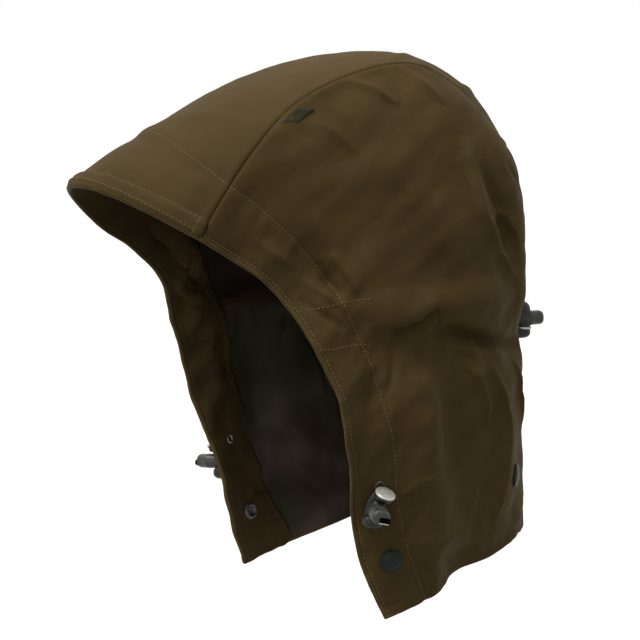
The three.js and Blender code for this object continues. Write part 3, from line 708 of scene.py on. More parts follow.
def roundBlock(name, seat, centre, halves, power=0.55, rings=20, sides=32, tilt=0.0):
    # A moulded block: a ball squared off by its power
    squared = lambda value: np.sign(value) * np.abs(value) ** power
    lat = np.linspace(-np.pi / 2, np.pi / 2, rings)[:, None]
    lon = np.arange(sides)[None, :] / sides * 2 * np.pi
    local = np.stack([squared(np.cos(lat)) * squared(np.cos(lon)),
                      squared(np.sin(lat)) * np.ones_like(lon),
                      squared(np.cos(lat)) * squared(np.sin(lon))], -1) * np.asarray(halves)
    y, z = tilted(local[..., 1], local[..., 2], tilt)
    return ringPiece(name, seat, np.stack([local[..., 0], y, z], -1) + np.asarray(centre))


# Stitches are made by geometry nodes along a path. Sizes in mm
stitchSizes = {"spacing": 3.0, "length": 2.1, "width": 0.48}


def addNode(tree, kind, links=None, **settings):
    # Adds a node, sets its named settings and sockets, and links what it is given
    node = tree.nodes.new(kind)
    for key, value in settings.items():
        setattr(node, key, value)
    for key, value in (links or {}).items():
        socket = node.inputs[key]
        if isinstance(value, bpy.types.NodeSocket):
            tree.links.new(value, socket)
        else:
            socket.default_value = value
    return node


def stitchTree():
    tree = bpy.data.node_groups.new("lockstitch along a path", "GeometryNodeTree")
    face = tree.interface
    face.new_socket("Geometry", in_out="OUTPUT", socket_type="NodeSocketGeometry")
    face.new_socket("Path", in_out="INPUT", socket_type="NodeSocketGeometry")
    for label in ("Spacing", "Length", "Width"):
        face.new_socket(label, in_out="INPUT", socket_type="NodeSocketFloat")
    face.new_socket("Thread", in_out="INPUT", socket_type="NodeSocketMaterial")
    given = addNode(tree, "NodeGroupInput").outputs
    curve = addNode(tree, "GeometryNodeMeshToCurve", {"Mesh": given["Path"]})
    spaced = addNode(tree, "GeometryNodeResampleCurve",
                     {"Curve": curve.outputs[0], "Length": given["Spacing"]}, mode="LENGTH")
    tangent = addNode(tree, "GeometryNodeInputTangent")
    turn = addNode(tree, "FunctionNodeAlignRotationToVector", {"Vector": tangent.outputs[0]}, axis="Z")
    size = addNode(tree, "ShaderNodeCombineXYZ", {"X": given["Width"], "Y": given["Width"], "Z": given["Length"]})
    thread = addNode(tree, "GeometryNodeMeshUVSphere", {"Segments": 6, "Rings": 4, "Radius": 0.5})
    placed = addNode(tree, "GeometryNodeInstanceOnPoints", {
        "Points": spaced.outputs[0], "Instance": thread.outputs["Mesh"],
        "Rotation": turn.outputs[0], "Scale": size.outputs[0]})
    real = addNode(tree, "GeometryNodeRealizeInstances", {"Geometry": placed.outputs[0]})
    smooth = addNode(tree, "GeometryNodeSetShadeSmooth", {"Geometry": real.outputs[0]})
    dyed = addNode(tree, "GeometryNodeSetMaterial", {"Geometry": smooth.outputs[0], "Material": given["Thread"]})
    addNode(tree, "NodeGroupOutput", {"Geometry": dyed.outputs[0]})
    return tree


def sew(name, paths, material, tree, slot="shell_cloth"):
    # Stitches along each path, as one plain mesh
    vertices, edges, base = [], [], 0
    for path in paths:
        vertices.append(np.asarray(path) * mm)
        edges += [(base + k, base + k + 1) for k in range(len(path) - 1)]
        base += len(path)
    mesh = bpy.data.meshes.new(name + " path")
    mesh.from_pydata(np.vstack(vertices).tolist(), edges, [])
    guide = bpy.data.objects.new(name + " path", mesh)
    bpy.context.scene.collection.objects.link(guide)
    modifier = guide.modifiers.new("stitches", "NODES")
    values = {"Spacing": stitchSizes["spacing"] * mm, "Length": stitchSizes["length"] * mm,
              "Width": stitchSizes["width"] * mm, "Thread": material}
    modifier.node_group = tree
    for item in tree.interface.items_tree:
        if item.in_out == "INPUT" and item.name in values:
            modifier[item.identifier] = values[item.name]
    bpy.context.view_layer.update()
    evaluated = guide.evaluated_get(bpy.context.evaluated_depsgraph_get())
    plain = bpy.data.meshes.new_from_object(evaluated)
    bpy.data.objects.remove(guide)
    piece = bpy.data.objects.new(name, plain)
    bpy.context.scene.collection.objects.link(piece)
    keep(piece, material, slot)


def tint(hexColour):
    # sRGB hex to linear
    values = np.array([int(hexColour[k:k + 2], 16) for k in (1, 3, 5)]) / 255
    linear = np.where(values <= 0.04045, values / 12.92, ((values + 0.055) / 1.055) ** 2.4)
    return (*linear, 1.0)


def newFinish(name, **sockets):
    material = bpy.data.materials.new(name)
    material.use_nodes = True
    tree = material.node_tree
    shader = tree.nodes["Principled BSDF"]
    for key, value in sockets.items():
        shader.inputs[key.replace("_", " ")].default_value = value
    return material, tree, shader


wavePeriod = 0.314  # a wave texture of scale 1 repeats each 0.314 units
# Noise scales per metre, bump strengths and depths in mm
clothLook = {
    "sheenTint": "#b49c66", "specular": 0.12, "broad": 9.0, "fine": 55.0, "slub": 620.0, "slubStretch": 0.12,
    "slubRise": 1.6,
    "weaveStrength": 0.55, "crush": 120.0, "crushStrength": 0.35, "crushDepth": 1.1, "rub": 90.0,
}


def wovenCloth(name, shades, thread, threadDepth, roughness, sheen, rubbed=None):
    # Plain woven cloth: two crossed sets of threads, soft mottling and slubs
    look = clothLook
    material, tree, shader = newFinish(name, Roughness=roughness, Sheen_Weight=sheen, Sheen_Roughness=0.5,
                                       Sheen_Tint=tint(look["sheenTint"]), Specular_IOR_Level=look["specular"])
    place = addNode(tree, "ShaderNodeTexCoord").outputs["Object"]
    flat = addNode(tree, "ShaderNodeUVMap", uv_map="cloth").outputs[0]
    broad = addNode(tree, "ShaderNodeTexNoise",
                    {"Vector": place, "Scale": look["broad"], "Detail": 4.0, "Roughness": 0.55})
    ramp = addNode(tree, "ShaderNodeValToRGB", {"Fac": broad.outputs["Fac"]})
    stops = ramp.color_ramp.elements
    stops[0].position, stops[1].position = 0.34, 0.68
    stops[0].color, stops[1].color = tint(shades[0]), tint(shades[2])
    stops.new(0.5).color = tint(shades[1])
    # Uneven yarn shows as short streaks along both threads
    streaks = []
    for stretch in ((1.0, look["slubStretch"], 1.0), (look["slubStretch"], 1.0, 1.0)):
        turn = addNode(tree, "ShaderNodeMapping", {"Vector": flat, "Scale": stretch})
        streak = addNode(tree, "ShaderNodeTexNoise", {"Vector": turn.outputs[0], "Scale": look["slub"], "Detail": 2.0})
        streaks.append(streak.outputs["Fac"])
    slub = addNode(tree, "ShaderNodeMath", dict(enumerate(streaks)), operation="MULTIPLY")
    fine = addNode(tree, "ShaderNodeTexNoise", {"Vector": place, "Scale": look["fine"], "Detail": 3.0})
    grain = addNode(tree, "ShaderNodeMath", {0: slub.outputs[0], 1: fine.outputs["Fac"]}, operation="ADD")
    shift = addNode(tree, "ShaderNodeMapRange", {
        "Value": grain.outputs[0], "From Min": 0.45, "From Max": 1.05, "To Min": 0.90, "To Max": 1.09})
    coloured = addNode(tree, "ShaderNodeVectorMath",
                       {0: ramp.outputs["Color"], "Scale": shift.outputs[0]}, operation="SCALE")
    tree.links.new(coloured.outputs[0], shader.inputs["Base Color"])
    # Threads are drawn wider than the real 0.4 mm so that they show at all
    waves = []
    for direction in ("X", "Y"):
        wave = addNode(tree, "ShaderNodeTexWave", {
            "Vector": flat, "Scale": wavePeriod / (thread * mm), "Distortion": 1.2, "Detail": 1.0,
            "Detail Scale": 3.0}, wave_type="BANDS", bands_direction=direction)
        waves.append(wave.outputs["Fac"])
    weave = addNode(tree, "ShaderNodeMath", dict(enumerate(waves)), operation="MULTIPLY")
    relief = addNode(tree, "ShaderNodeMath",
                     {0: slub.outputs[0], 1: look["slubRise"], 2: weave.outputs[0]}, operation="MULTIPLY_ADD")
    ridges = addNode(tree, "ShaderNodeBump", {
        "Height": relief.outputs[0], "Strength": look["weaveStrength"], "Distance": threadDepth * mm})
    crush = addNode(tree, "ShaderNodeTexNoise",
                    {"Vector": place, "Scale": look["crush"], "Detail": 5.0, "Roughness": 0.6})
    creased = addNode(tree, "ShaderNodeBump", {
        "Height": crush.outputs["Fac"], "Strength": look["crushStrength"], "Distance": look["crushDepth"] * mm,
        "Normal": ridges.outputs[0]})
    tree.links.new(creased.outputs[0], shader.inputs["Normal"])
    if rubbed:
        # Rubbed edges are paler where the fold stands out
        worn = addNode(tree, "ShaderNodeTexNoise", {"Vector": place, "Scale": look["rub"], "Detail": 3.0})
        amount = addNode(tree, "ShaderNodeMapRange", {
            "Value": worn.outputs["Fac"], "From Min": 0.4, "From Max": 0.65, "To Min": 0.15, "To Max": 0.75})
        pale = addNode(tree, "ShaderNodeMix",
                       {0: amount.outputs[0], 6: coloured.outputs[0], 7: tint(rubbed)}, data_type="RGBA")
        tree.links.new(pale.outputs[2], shader.inputs["Base Color"])
    return material


# Waxed cotton, woven tight and proofed: matt, with a faint bloom and uneven wax
waxedCotton = wovenCloth("waxed cotton", ("#45371b", "#493a1e", "#4d3e21"), 1.1, 0.10, 0.78, 0.02)
foldedCotton = wovenCloth("waxed cotton on a rubbed fold", ("#48381d", "#4d3c20", "#534225"), 1.1, 0.08, 0.74, 0.02,
                          rubbed="#605133")
# Facing: the same cloth, less worn and a little browner
facingCotton = wovenCloth("waxed cotton facing", ("#43351c", "#48391f", "#4d3e23"), 1.1, 0.10, 0.80, 0.02)
# Woven nylon tape: dense ribs across, dark olive
wovenTape = wovenCloth("woven tape", ("#2b291c", "#302e20", "#373425"), 0.9, 0.30, 0.7, 0.05)


def liningCloth():
    # Cotton drill, dark, with soft paler and greener patches in no set shape
    material = wovenCloth("cotton drill lining with soft patches", ("#31261d", "#362a21", "#3b2f26"), 1.0, 0.08, 0.82, 0.02)
    tree = material.node_tree
    colour = tree.nodes["Principled BSDF"].inputs["Base Color"]
    place = addNode(tree, "ShaderNodeTexCoord").outputs["Object"]
    for scale, detail, distortion, starts, ends, shade in (
            (11.0, (2.0, 0.45), 0.4, 0.44, 0.56, "#584c47"), (16.0, (1.5, 0.5), 0.3, 0.50, 0.68, "#343323")):
        patch = addNode(tree, "ShaderNodeTexNoise", {
            "Vector": place, "Scale": scale, "Detail": detail[0], "Roughness": detail[1], "Distortion": distortion})
        soft = addNode(tree, "ShaderNodeMapRange", {
            "Value": patch.outputs["Fac"], "From Min": starts, "From Max": ends}, interpolation_type="SMOOTHSTEP")
        mixed = addNode(tree, "ShaderNodeMix", {
            0: soft.outputs[0], 6: colour.links[0].from_socket, 7: tint(shade)}, data_type="RGBA")
        tree.links.new(mixed.outputs[2], colour)
    return material


# Noise scales per metre of dust and of the grain left by mould, brush or plating
mouldLook = {"dust": 320.0, "grain": 1500.0, "grainStrength": 0.3, "glossier": 0.08, "duller": 0.12}


def moulded(name, shade, dust, roughness, grainDepth=0.05, **sockets):
    # A hard surface with fine grain, dust in patches and uneven gloss
    look = mouldLook
    material, tree, shader = newFinish(name, **sockets)
    place = addNode(tree, "ShaderNodeTexCoord").outputs["Object"]
    patch = addNode(tree, "ShaderNodeTexNoise", {"Vector": place, "Scale": look["dust"], "Detail": 4.0}).outputs["Fac"]
    tone = addNode(tree, "ShaderNodeMapRange", {"Value": patch, "From Min": 0.35, "From Max": 0.7})
    colour = addNode(tree, "ShaderNodeMix", {0: tone.outputs[0], 6: tint(shade), 7: tint(dust)}, data_type="RGBA")
    tree.links.new(colour.outputs[2], shader.inputs["Base Color"])
    gloss = addNode(tree, "ShaderNodeMapRange", {
        "Value": patch, "To Min": roughness - look["glossier"], "To Max": roughness + look["duller"]})
    tree.links.new(gloss.outputs[0], shader.inputs["Roughness"])
    grain = addNode(tree, "ShaderNodeTexNoise", {"Vector": place, "Scale": look["grain"], "Detail": 2.0})
    relief = addNode(tree, "ShaderNodeBump", {
        "Height": grain.outputs["Fac"], "Strength": look["grainStrength"], "Distance": grainDepth * mm})
    tree.links.new(relief.outputs[0], shader.inputs["Normal"])
    return material


liningDrill = liningCloth()
# Acetal cord locks: dark grey, satin from the mould
darkAcetal = moulded("acetal, dark grey", "#141413", "#232321", 0.40, Specular_IOR_Level=0.30)
greyAcetal = moulded("acetal, grey barrel", "#2e2f2c", "#42423d", 0.38, Specular_IOR_Level=0.40)
# Painted shade: a flat black for the block that stands in for the slot in each barrel
slotShadeBlack = moulded("acetal in shade", "#060606", "#0b0b0a", 0.7, Specular_IOR_Level=0.0)
# Brushed zinc disc: bright, with soft wear. The same finish paints the highlight on the lip under each lock's slot
zincDiscAndSlotHighlight = moulded("brushed zinc, and painted slot highlight", "#b9b7ae", "#d0cec6", 0.36, 0.02, Metallic=0.45)
# Brass eyelets, plated and gone dark outside; inside they are painted bright, a painted highlight for their glint
darkBrass = moulded("plated brass, dulled", "#2d2b25", "#45423a", 0.42, 0.02, Metallic=0.5)
brassPaintedGlint = moulded("plated brass, painted bright for a glint", "#6d6a5f", "#98948a", 0.34, 0.02, Metallic=0.7)
# Steel studs: dark green lacquer outside, bare and dulled inside
greenLacquer = moulded("dark green lacquer", "#08150f", "#0f2018", 0.42, 0.02, Specular_IOR_Level=0.18)
studSteel = moulded("stud ring, dulled steel", "#423c3d", "#5a5354", 0.42, 0.02, Metallic=0.5)
# Polyester thread, a shade paler than the cloth
threadTan = moulded("polyester thread, tan", "#6c5c39", "#7f6e47", 0.6)
threadDark = moulded("polyester thread, olive", "#4a3e25", "#574a2e", 0.6)
# Elastic with a braided cover: matt
cordBlack = moulded("braided elastic", "#201f1c", "#33312c", 0.7, 0.2)
print("finishes ready")


def mitred(own, other):
    return (own + other) / (1 + np.sum(own * other, axis=-1, keepdims=True))


# Samples along the seam, and how far beside it each panel is felt for its direction
seamProbe = {"crownRows": 160, "crownBeside": 0.97, "sideRows": 100, "sideBeside": 0.01}


def seamNormals():
    # Outward directions of both panels along the seam, by share of its length
    shares = np.linspace(0, 1, seamProbe["crownRows"])
    grids = [spread.ravel() for spread in np.meshgrid(shares, [1.0, seamProbe["crownBeside"]], indexing="ij")]
    crown = gridNormals(crownPoints(*grids).reshape(len(shares), 2, 3))[:, 0]
    top = np.linspace(0, 1, seamProbe["sideRows"])
    uGrid, vGrid = np.meshgrid(top, [0.0, seamProbe["sideBeside"]])
    upper = gridNormals(sidePoints(uGrid.ravel(), vGrid.ravel()).reshape(2, len(top), 3))[0]
    uGrid, vGrid = np.meshgrid([1 - seamProbe["sideBeside"], 1.0], top)
    rear = gridNormals(sidePoints(uGrid.ravel(), vGrid.ravel()).reshape(len(top), 2, 3))[:, 1]
    upper[-1], rear[0] = upper[-2], rear[1]
    sideShares = np.concatenate([top * cornerShare, cornerShare + top[1:] * (1 - cornerShare)])
    side = np.vstack([upper, rear[1:]])
    return (lambda share: readAlong(crown, shares, share)), (lambda share: readAlong(side, sideShares, share))


crownNormalAt, sideNormalAt = seamNormals()
seamOffset = lambda share: mitred(sideNormalAt(share), crownNormalAt(share))
mitreReach = 6.0


def depthOf(cloth, depth):
    return cloth["calm"] - cloth["offsets"] * depth


def towardsSeam(normals, meeting, fromSeam):
    # Directions into the cloth, which two panels share where they meet
    weight = np.exp(-(fromSeam / mitreReach) ** 2)[:, :, None]
    return normals + (meeting - normals) * weight


def sideOffsets(cloth):
    normals = gridNormals(cloth["calm"])
    uGrid, vGrid = np.meshgrid(uSteps, vSteps)
    nearTop = cloth["fromTop"] < cloth["fromBack"]
    share = np.where(nearTop, uGrid * cornerShare, cornerShare + vGrid * (1 - cornerShare))
    meeting = seamOffset(share.ravel()).reshape(normals.shape)
    return towardsSeam(normals, meeting, np.minimum(cloth["fromTop"], cloth["fromBack"]))


def crownOffsets(cloth):
    normals = gridNormals(cloth["calm"])
    meeting = seamOffset(cloth["shares"].ravel()).reshape(normals.shape)
    meeting[:, :, 0] *= np.sign(cloth["sides"] + 1e-9)
    return towardsSeam(normals, meeting, cloth["fromSeam"])


# Gathers of the facing: depths in mm, places as shares of its height, noise in waves over it
gathers = {"depth": 8.0, "count": 9, "middle": 0.46, "reach": 0.36, "slant": 0.35, "power": 1.6,
           "wobble": 1.08, "wobbleWaves": 9, "sizeWaves": 11, "ripple": 0.8, "rippleWaves": 34,
           "uneven": 0.35, "unevenWaves": 14}


def gatherDepth(v, share):
    # The drawn cord puckers the facing between edge and casing stitch
    wobble = gathers["wobble"] * cloudNoise(v * gathers["wobbleWaves"], share * 2, 61)
    wave = 0.5 - 0.5 * np.cos(2 * np.pi * (gathers["count"] * v + gathers["slant"] * share) + wobble)
    size = gathers["depth"] * (0.85 + 0.5 * cloudNoise(v * gathers["sizeWaves"] + 5, share * 3, 62))
    acrossBand = bump(2 * share - 1)
    ripple = gathers["ripple"] * cloudNoise(v * gathers["rippleWaves"], share * 4, 63) * acrossBand
    drawn = (size * wave ** gathers["power"] + ripple) * acrossBand * bump((v - gathers["middle"]) / gathers["reach"])
    return drawn + gathers["uneven"] * cloudNoise(v * gathers["unevenWaves"], share * 3 + 9, 64)


def flatArea(grid):
    sides = grid[1:, :-1] - grid[:-1, :-1], grid[:-1, 1:] - grid[:-1, :-1]
    return float(np.linalg.norm(np.cross(*sides), axis=2).sum()) * mm * mm


def cutSize(piece, grid, held):
    # Prints the size of a piece as a sheet, cut as wide and long as its grid is over the cloth
    across = runAlong(grid, 1)[:, -1].max() * mm
    down = runAlong(grid, 0)[-1].max() * mm
    area = min(flatArea(grid), across * down)
    print(f"sheet {piece.name}: {across:.3f} x {down:.3f} m, area {area:.4f} m2")


def dressPanel(name, node, near, far, runs, material, slot="shell_cloth", held="stretched", mirror=False):
    piece = clothWall(name, near, far, runs, mirror)
    keep(piece, material, slot, node)
    cutSize(piece, near, held)


# Lining hangs loose of the shell by up to its rise, away from its edges. All in mm
liningSlack = {"sideRise": 1.3, "crownRise": 1.1, "from": 6.0, "over": 30.0, "backOver": 20.0, "topOver": 15.0,
               "seamOver": 18.0, "thin": 0.35, "thick": 1.0, "thickFrom": 4.0, "thickOver": 8.0}


def liningWall(back, spare, loose, ahead):
    # It thins out where it is tucked under the facing
    slack = liningSlack
    loose = loose * easeIn((ahead - slack["from"]) / slack["over"])
    swell = easeIn((ahead - slack["thickFrom"]) / slack["thickOver"])
    thick = slack["thin"] + (slack["thick"] - slack["thin"]) * swell
    return back - spare * loose[:, :, None], back - spare * (loose + thick)[:, :, None]


def makeSides():
    cloth = clothSide(3)
    cloth["offsets"] = sideOffsets(cloth)
    fromFront = cloth["fromFront"]
    limit = hood["facing"]
    at = lambda depth: depthOf(cloth, depth)
    shell = cloth["points"], at(hood["shell"])
    # Facing, drawn up in gathers by the face cord
    pull = gatherDepth(*np.meshgrid(vSteps, facingColumns, indexing="ij"))
    offset = stretchOf(cloth["offsets"], fromFront, limit)
    facing = [stretchOf(at(hood[face]), fromFront, limit) - offset * pull[:, :, None]
              for face in ("facingNear", "facingFar")]
    # Lining, tucked under the facing's back edge
    tuck = limit - hood["liningTuck"]
    back, spare = (restOf(grid, fromFront, tuck, 90) for grid in (at(hood["liningDepth"]), cloth["offsets"]))
    ahead, down = runAlong(back, 1), runAlong(back, 0)
    loose = liningSlack["sideRise"] * np.abs(cloudNoise(ahead / 33 + 2, down / 60, 71))
    loose *= easeIn((ahead[:, -1:] - ahead) / liningSlack["backOver"]) * easeIn(down / liningSlack["topOver"])
    lining = liningWall(back, spare, loose, ahead)
    shellRuns = fromFront, cloth["fromTop"]
    faceRuns = runAlong(facing[0], 1), runAlong(facing[0], 0)
    for side, mirror in (("left", False), ("right", True)):
        dressPanel(f"side_shell_{side}", f"side_panel_{side}", *shell, shellRuns, waxedCotton, mirror=mirror)
        dressPanel(f"gathered_facing_{side}", f"side_facing_{side}", *facing, faceRuns, facingCotton,
                   held="gathered", mirror=mirror)
        dressPanel(f"side_drill_{side}", f"side_lining_{side}", *lining, (ahead, down), liningDrill,
                   "lining_cloth", mirror=mirror)
    return cloth, facing


def makeCrown(clearSpots):
    cloth = clothCrown(23, clearSpots)
    cloth["offsets"] = crownOffsets(cloth)
    at = lambda depth: depthOf(cloth, depth)
    runs = cloth["fromBrow"], cloth["fromLeft"]
    dressPanel("crown_shell", "crown_panel", cloth["points"], at(hood["shell"]), runs, waxedCotton)
    flip = lambda grid: grid.transpose(1, 0, 2)
    limit = hood["facing"]
    toFront = cloth["fromBrow"].T
    brow = [flip(stretchOf(flip(at(hood[face])), toFront, limit)) for face in ("facingNear", "facingFar")]
    browRuns = runAlong(brow[0], 0), runAlong(brow[0], 1)
    dressPanel("brow_facing_band", "brow_facing", *brow, browRuns, facingCotton)
    tuck = limit - hood["liningTuck"]
    back, spare = (flip(restOf(flip(grid), toFront, tuck, 170)) for grid in (at(hood["liningDepth"]), cloth["offsets"]))
    ahead, across = runAlong(back, 0), runAlong(back, 1)
    edge = np.minimum(across, across[:, -1:] - across)
    loose = liningSlack["crownRise"] * np.abs(cloudNoise(ahead / 40, across / 45 + 5, 72))
    loose *= easeIn(edge / liningSlack["seamOver"])
    lining = liningWall(back, spare, loose, ahead)
    dressPanel("crown_drill", "crown_lining", *lining, (ahead, across), liningDrill, "lining_cloth")
    return cloth


rims = {"across": 1.95, "along": 1.35, "depth": 1.75, "back": 0.9}


def rimLine(cloth, row=None, column=None, inward=1):
    # Centre line of a folded rim, a little in from the edge of a panel
    depth = depthOf(cloth, rims["depth"])
    if column is not None:
        line, beside = depth[:, column], depth[:, column + inward * 4]
        offset = cloth["offsets"][:, column]
    else:
        line, beside = depth[row], depth[row + inward * 4]
        offset = cloth["offsets"][row]
    into = beside - line
    into /= np.linalg.norm(into, axis=1, keepdims=True)
    return line + into * rims["back"], offset


def makeRims(side, crown):
    # The folded cloth edge around the face, and the hem round the neck
    face = [table[::-1] for table in rimLine(side, column=0)]
    hem = rimLine(side, row=-1, inward=-1)
    for name, sidePart, crownPart in (("face_edge_fold", face, rimLine(crown, row=0)),
                                      ("neck_hem_fold", hem, rimLine(crown, row=-1, inward=-1))):
        path, outward = (np.vstack([half[:-3], middle[2:-2], (half[:-3] * mirrorX)[::-1]])
                         for half, middle in zip(sidePart, crownPart))
        piece = ropeMesh(name, path, (rims["across"], rims["along"]), outward)
        keep(piece, foldedCotton, "shell_cloth")
    print("folded rims made")


# Where the stitches run: distances from an edge in mm, and paths as shares of a panel
stitchLines = {
    "edge": 3.6, "peak": 12.0, "facingBack": 42.0, "lift": 0.12,
    "tunnelUpper": [(0.024, 0.270), (0.090, 0.307), (0.158, 0.335), (0.212, 0.358)],
    "tunnelLower": [(0.012, 0.358), (0.058, 0.385), (0.115, 0.410), (0.176, 0.437)],
    "barTack": [(0.428, 0.484), (0.431, 0.496)],
    "casingCrown": [(0.066, 1.0), (0.072, 0.85), (0.080, 0.61), (0.092, 0.29), (0.098, 0.0)],
}


def onGrid(grid, uSpots, vSpots, u, v):
    # Points of a grid at shares of its columns and rows
    j = np.interp(u, uSpots, np.arange(len(uSpots)))
    i = np.interp(v, vSpots, np.arange(len(vSpots)))
    i0, j0 = np.clip(i.astype(int), 0, len(vSpots) - 2), np.clip(j.astype(int), 0, len(uSpots) - 2)
    wi, wj = (i - i0)[:, None], (j - j0)[:, None]
    return ((grid[i0, j0] * (1 - wj) + grid[i0, j0 + 1] * wj) * (1 - wi)
            + (grid[i0 + 1, j0] * (1 - wj) + grid[i0 + 1, j0 + 1] * wj) * wi)


def atDistance(grid, runs, distance):
    # The point of each row of a grid that is so far along it; the distance may differ along the row
    wanted = np.broadcast_to(distance, runs.shape)
    found = []
    for points, run, row in zip(grid, runs, wanted):
        found.append(readAlong(points, run, np.interp(0.0, run - row, run)))
    return np.array(found)


def between(path, count=40):
    path = np.array(path, float)
    steps = np.linspace(0, len(path) - 1, count)
    return readAlong(path, np.arange(len(path)), steps)


def sewHood(side, crown, facing, tree):
    lift = stitchLines["lift"]
    face = side["points"] + gridNormals(side["points"]) * lift
    top = crown["points"] + gridNormals(crown["points"]) * lift
    sideLine = lambda spots: onGrid(face, uSteps, vSteps, *between(spots).T)
    rows = slice(3, -2)
    oneSide = {
        "edge": atDistance(face, side["fromFront"], stitchLines["edge"])[rows],
        "casing": atDistance(face, side["fromFront"], casingAt(side["fromTop"]))[2:-2],
        "tunnel upper": sideLine(stitchLines["tunnelUpper"]),
        "tunnel lower": sideLine(stitchLines["tunnelLower"]),
        "bar tack": sideLine(stitchLines["barTack"]),
    }
    inner = facing[1]
    inside = gridNormals(inner) * -lift
    innerRuns = runAlong(inner, 1)
    oneInside = [atDistance(inner + inside, innerRuns, stitchLines[line])[rows] for line in ("edge", "facingBack")]
    for sideName, flip in (("left", 1), ("right", mirrorX)):
        sew(f"topstitching_{sideName}", [path * flip for path in oneSide.values()], threadTan, tree)
        sew(f"facing_stitching_{sideName}", [path * flip for path in oneInside], threadDark, tree)
    # Across the crown: along the brow edge, the peak line with its turn down the seam, and the casing
    across = slice(4, -4)
    browRuns = crown["fromBrow"].T
    flipped = top.transpose(1, 0, 2)
    peak = atDistance(flipped, browRuns, stitchLines["peak"])[across]
    ends = [atDistance(flipped, browRuns, d)[[4, -5]] for d in np.linspace(stitchLines["peak"], 2.0, 8)]
    turns = [np.array([spots[k] for spots in ends]) for k in (0, 1)]
    half = between(stitchLines["casingCrown"], 60)
    casing = np.vstack([half, (half * np.array([1, -1]))[::-1][1:]])
    casingPath = onGrid(top, (1 - acrossSides) / 2, crownSteps, (1 - casing[:, 1]) / 2, casing[:, 0])
    edge = atDistance(flipped, browRuns, stitchLines["edge"])[across]
    sew("topstitching_crown", [edge, peak, *turns, casingPath], threadTan, tree)
    print("stitching done")


# Studs and eyelets as (radius, height) in mm over the cloth. A sunk foot closes each piece below it
capOutline = [(0, -1.2), (7.1, -1.2), (7.3, -0.2), (7.75, 0.35), (7.8, 0.9), (7.55, 1.5), (7.05, 1.85), (6.55, 1.85),
              (6.2, 1.70), (5.9, 1.75), (5.4, 2.05), (4.4, 2.42), (3.0, 2.68), (1.5, 2.78), (0, 2.8)]
ringOutline = [(0, -1.0), (6.0, -1.0), (6.2, -0.2), (6.2, 1.2), (6.05, 1.75), (5.6, 2.2), (5.0, 2.5), (4.4, 2.6),
               (3.8, 2.45), (3.3, 2.1), (3.05, 1.6), (3.0, 0.9), (0, 0.85)]
eyeletOutline = [(1.6, -1.0), (3.3, -1.0), (3.6, 0.1), (3.55, 0.6), (3.2, 1.05), (2.65, 1.25), (2.1, 1.1),
                 (1.7, 0.6), (1.6, -1.0)]
studSpring = {"aside": 1.5, "height": 1.15, "halves": (0.32, 0.32, 2.3), "power": 0.8}


def makeStuds():
    for place, through in (("front", "facingFar"), ("back", "layers")):
        point, out = spotFrame(sidePoints, *spots[place + "Stud"])
        outer = standing(point, out)
        inner = standing(point - out * hood[through], -out)
        for side, seats in (("left", (outer, inner)), ("right", (mirroredSeat(outer), mirroredSeat(inner)))):
            cap = turned(f"stud_cap_{place}_{side}_pressed", seats[0], capOutline, 48)
            keep(cap, greenLacquer, "stud_lacquer", f"stud_cap_{place}_{side}")
            ring = turned(f"stud_ring_{place}_{side}", seats[1], ringOutline, 48)
            keep(ring, studSteel, "stud_lacquer", f"stud_socket_{place}_{side}")
            # The two legs of the spring that grips the post
            springs = [roundBlock("spring", seats[1], (aside, studSpring["height"], 0), studSpring["halves"],
                                  studSpring["power"], 8, 10) for aside in (-studSpring["aside"], studSpring["aside"])]
            keep(joined(f"stud_spring_{place}_{side}", springs), studSteel, "stud_lacquer")


def makeEyelets():
    point, out = spotFrame(sidePoints, *spots["eyelet"])
    inside = standing(point - out * (hood["facingFar"] + hood["eyeletProud"]), -out)
    for side in ("left", "right"):
        for where, seat in (("outer", standing(point, out)), ("inner", inside)):
            seat = seat if side == "left" else mirroredSeat(seat)
            ring = turned(f"eyelet_{side}_{where}", seat, eyeletOutline, 36)
            # The inner rings take the bright brass: a painted highlight
            keep(ring, darkBrass if where == "outer" else brassPaintedGlint, "eyelet_metal", f"cord_eyelet_{side}_{where}")


# Local places are (right, out of the cloth, up it) in mm
lockShape = {
    "base": {"centre": (0, 3.2, 0), "halves": (6.6, 2.9, 11.6)},
    "darkLobe": {"centre": (0, 5.6, -8.2), "halves": (6.9, 6.0, 4.6)},
    "neck": {"centre": (0, 6.2, 3.2), "halves": (4.6, 5.0, 4.4)},
    "discCentre": (-2.9, 7.4, 12.4), "discAxis": (-0.084, 0.177, 0.978),
    "barrelHalves": (6.4, 5.3), "barrelFoot": 6.0, "barrelEnd": 25.6, "barrelTilt": 9.0, "barrelPower": 0.86,
    "shift": 1.8, "slotHalf": (3.5, 1.8), "slotCentre": (-2.3, -1.3), "slotDeep": 0.6, "slotFront": 0.1,
    "lipShare": 0.95, "lipDeep": 0.5, "lipHalf": 0.38, "lipGap": 0.35,
}
discOutline = [(0, -0.9), (6.3, -0.9), (6.8, -0.4), (6.85, 0.2), (6.6, 0.7), (6.1, 0.85), (5.2, 1.1), (3.6, 1.4),
               (1.8, 1.6), (0, 1.65)]
drumOutline = [(0, -4.6), (4.6, -4.5), (5.7, -3.9), (6.1, -3.0), (6.1, -0.7), (0, -0.7)]


def barrelPlace(shape, x, along, z):
    y, z = tilted(along - shape["barrelFoot"], z, shape["barrelTilt"])
    return x, shape["barrelFoot"] + y, z


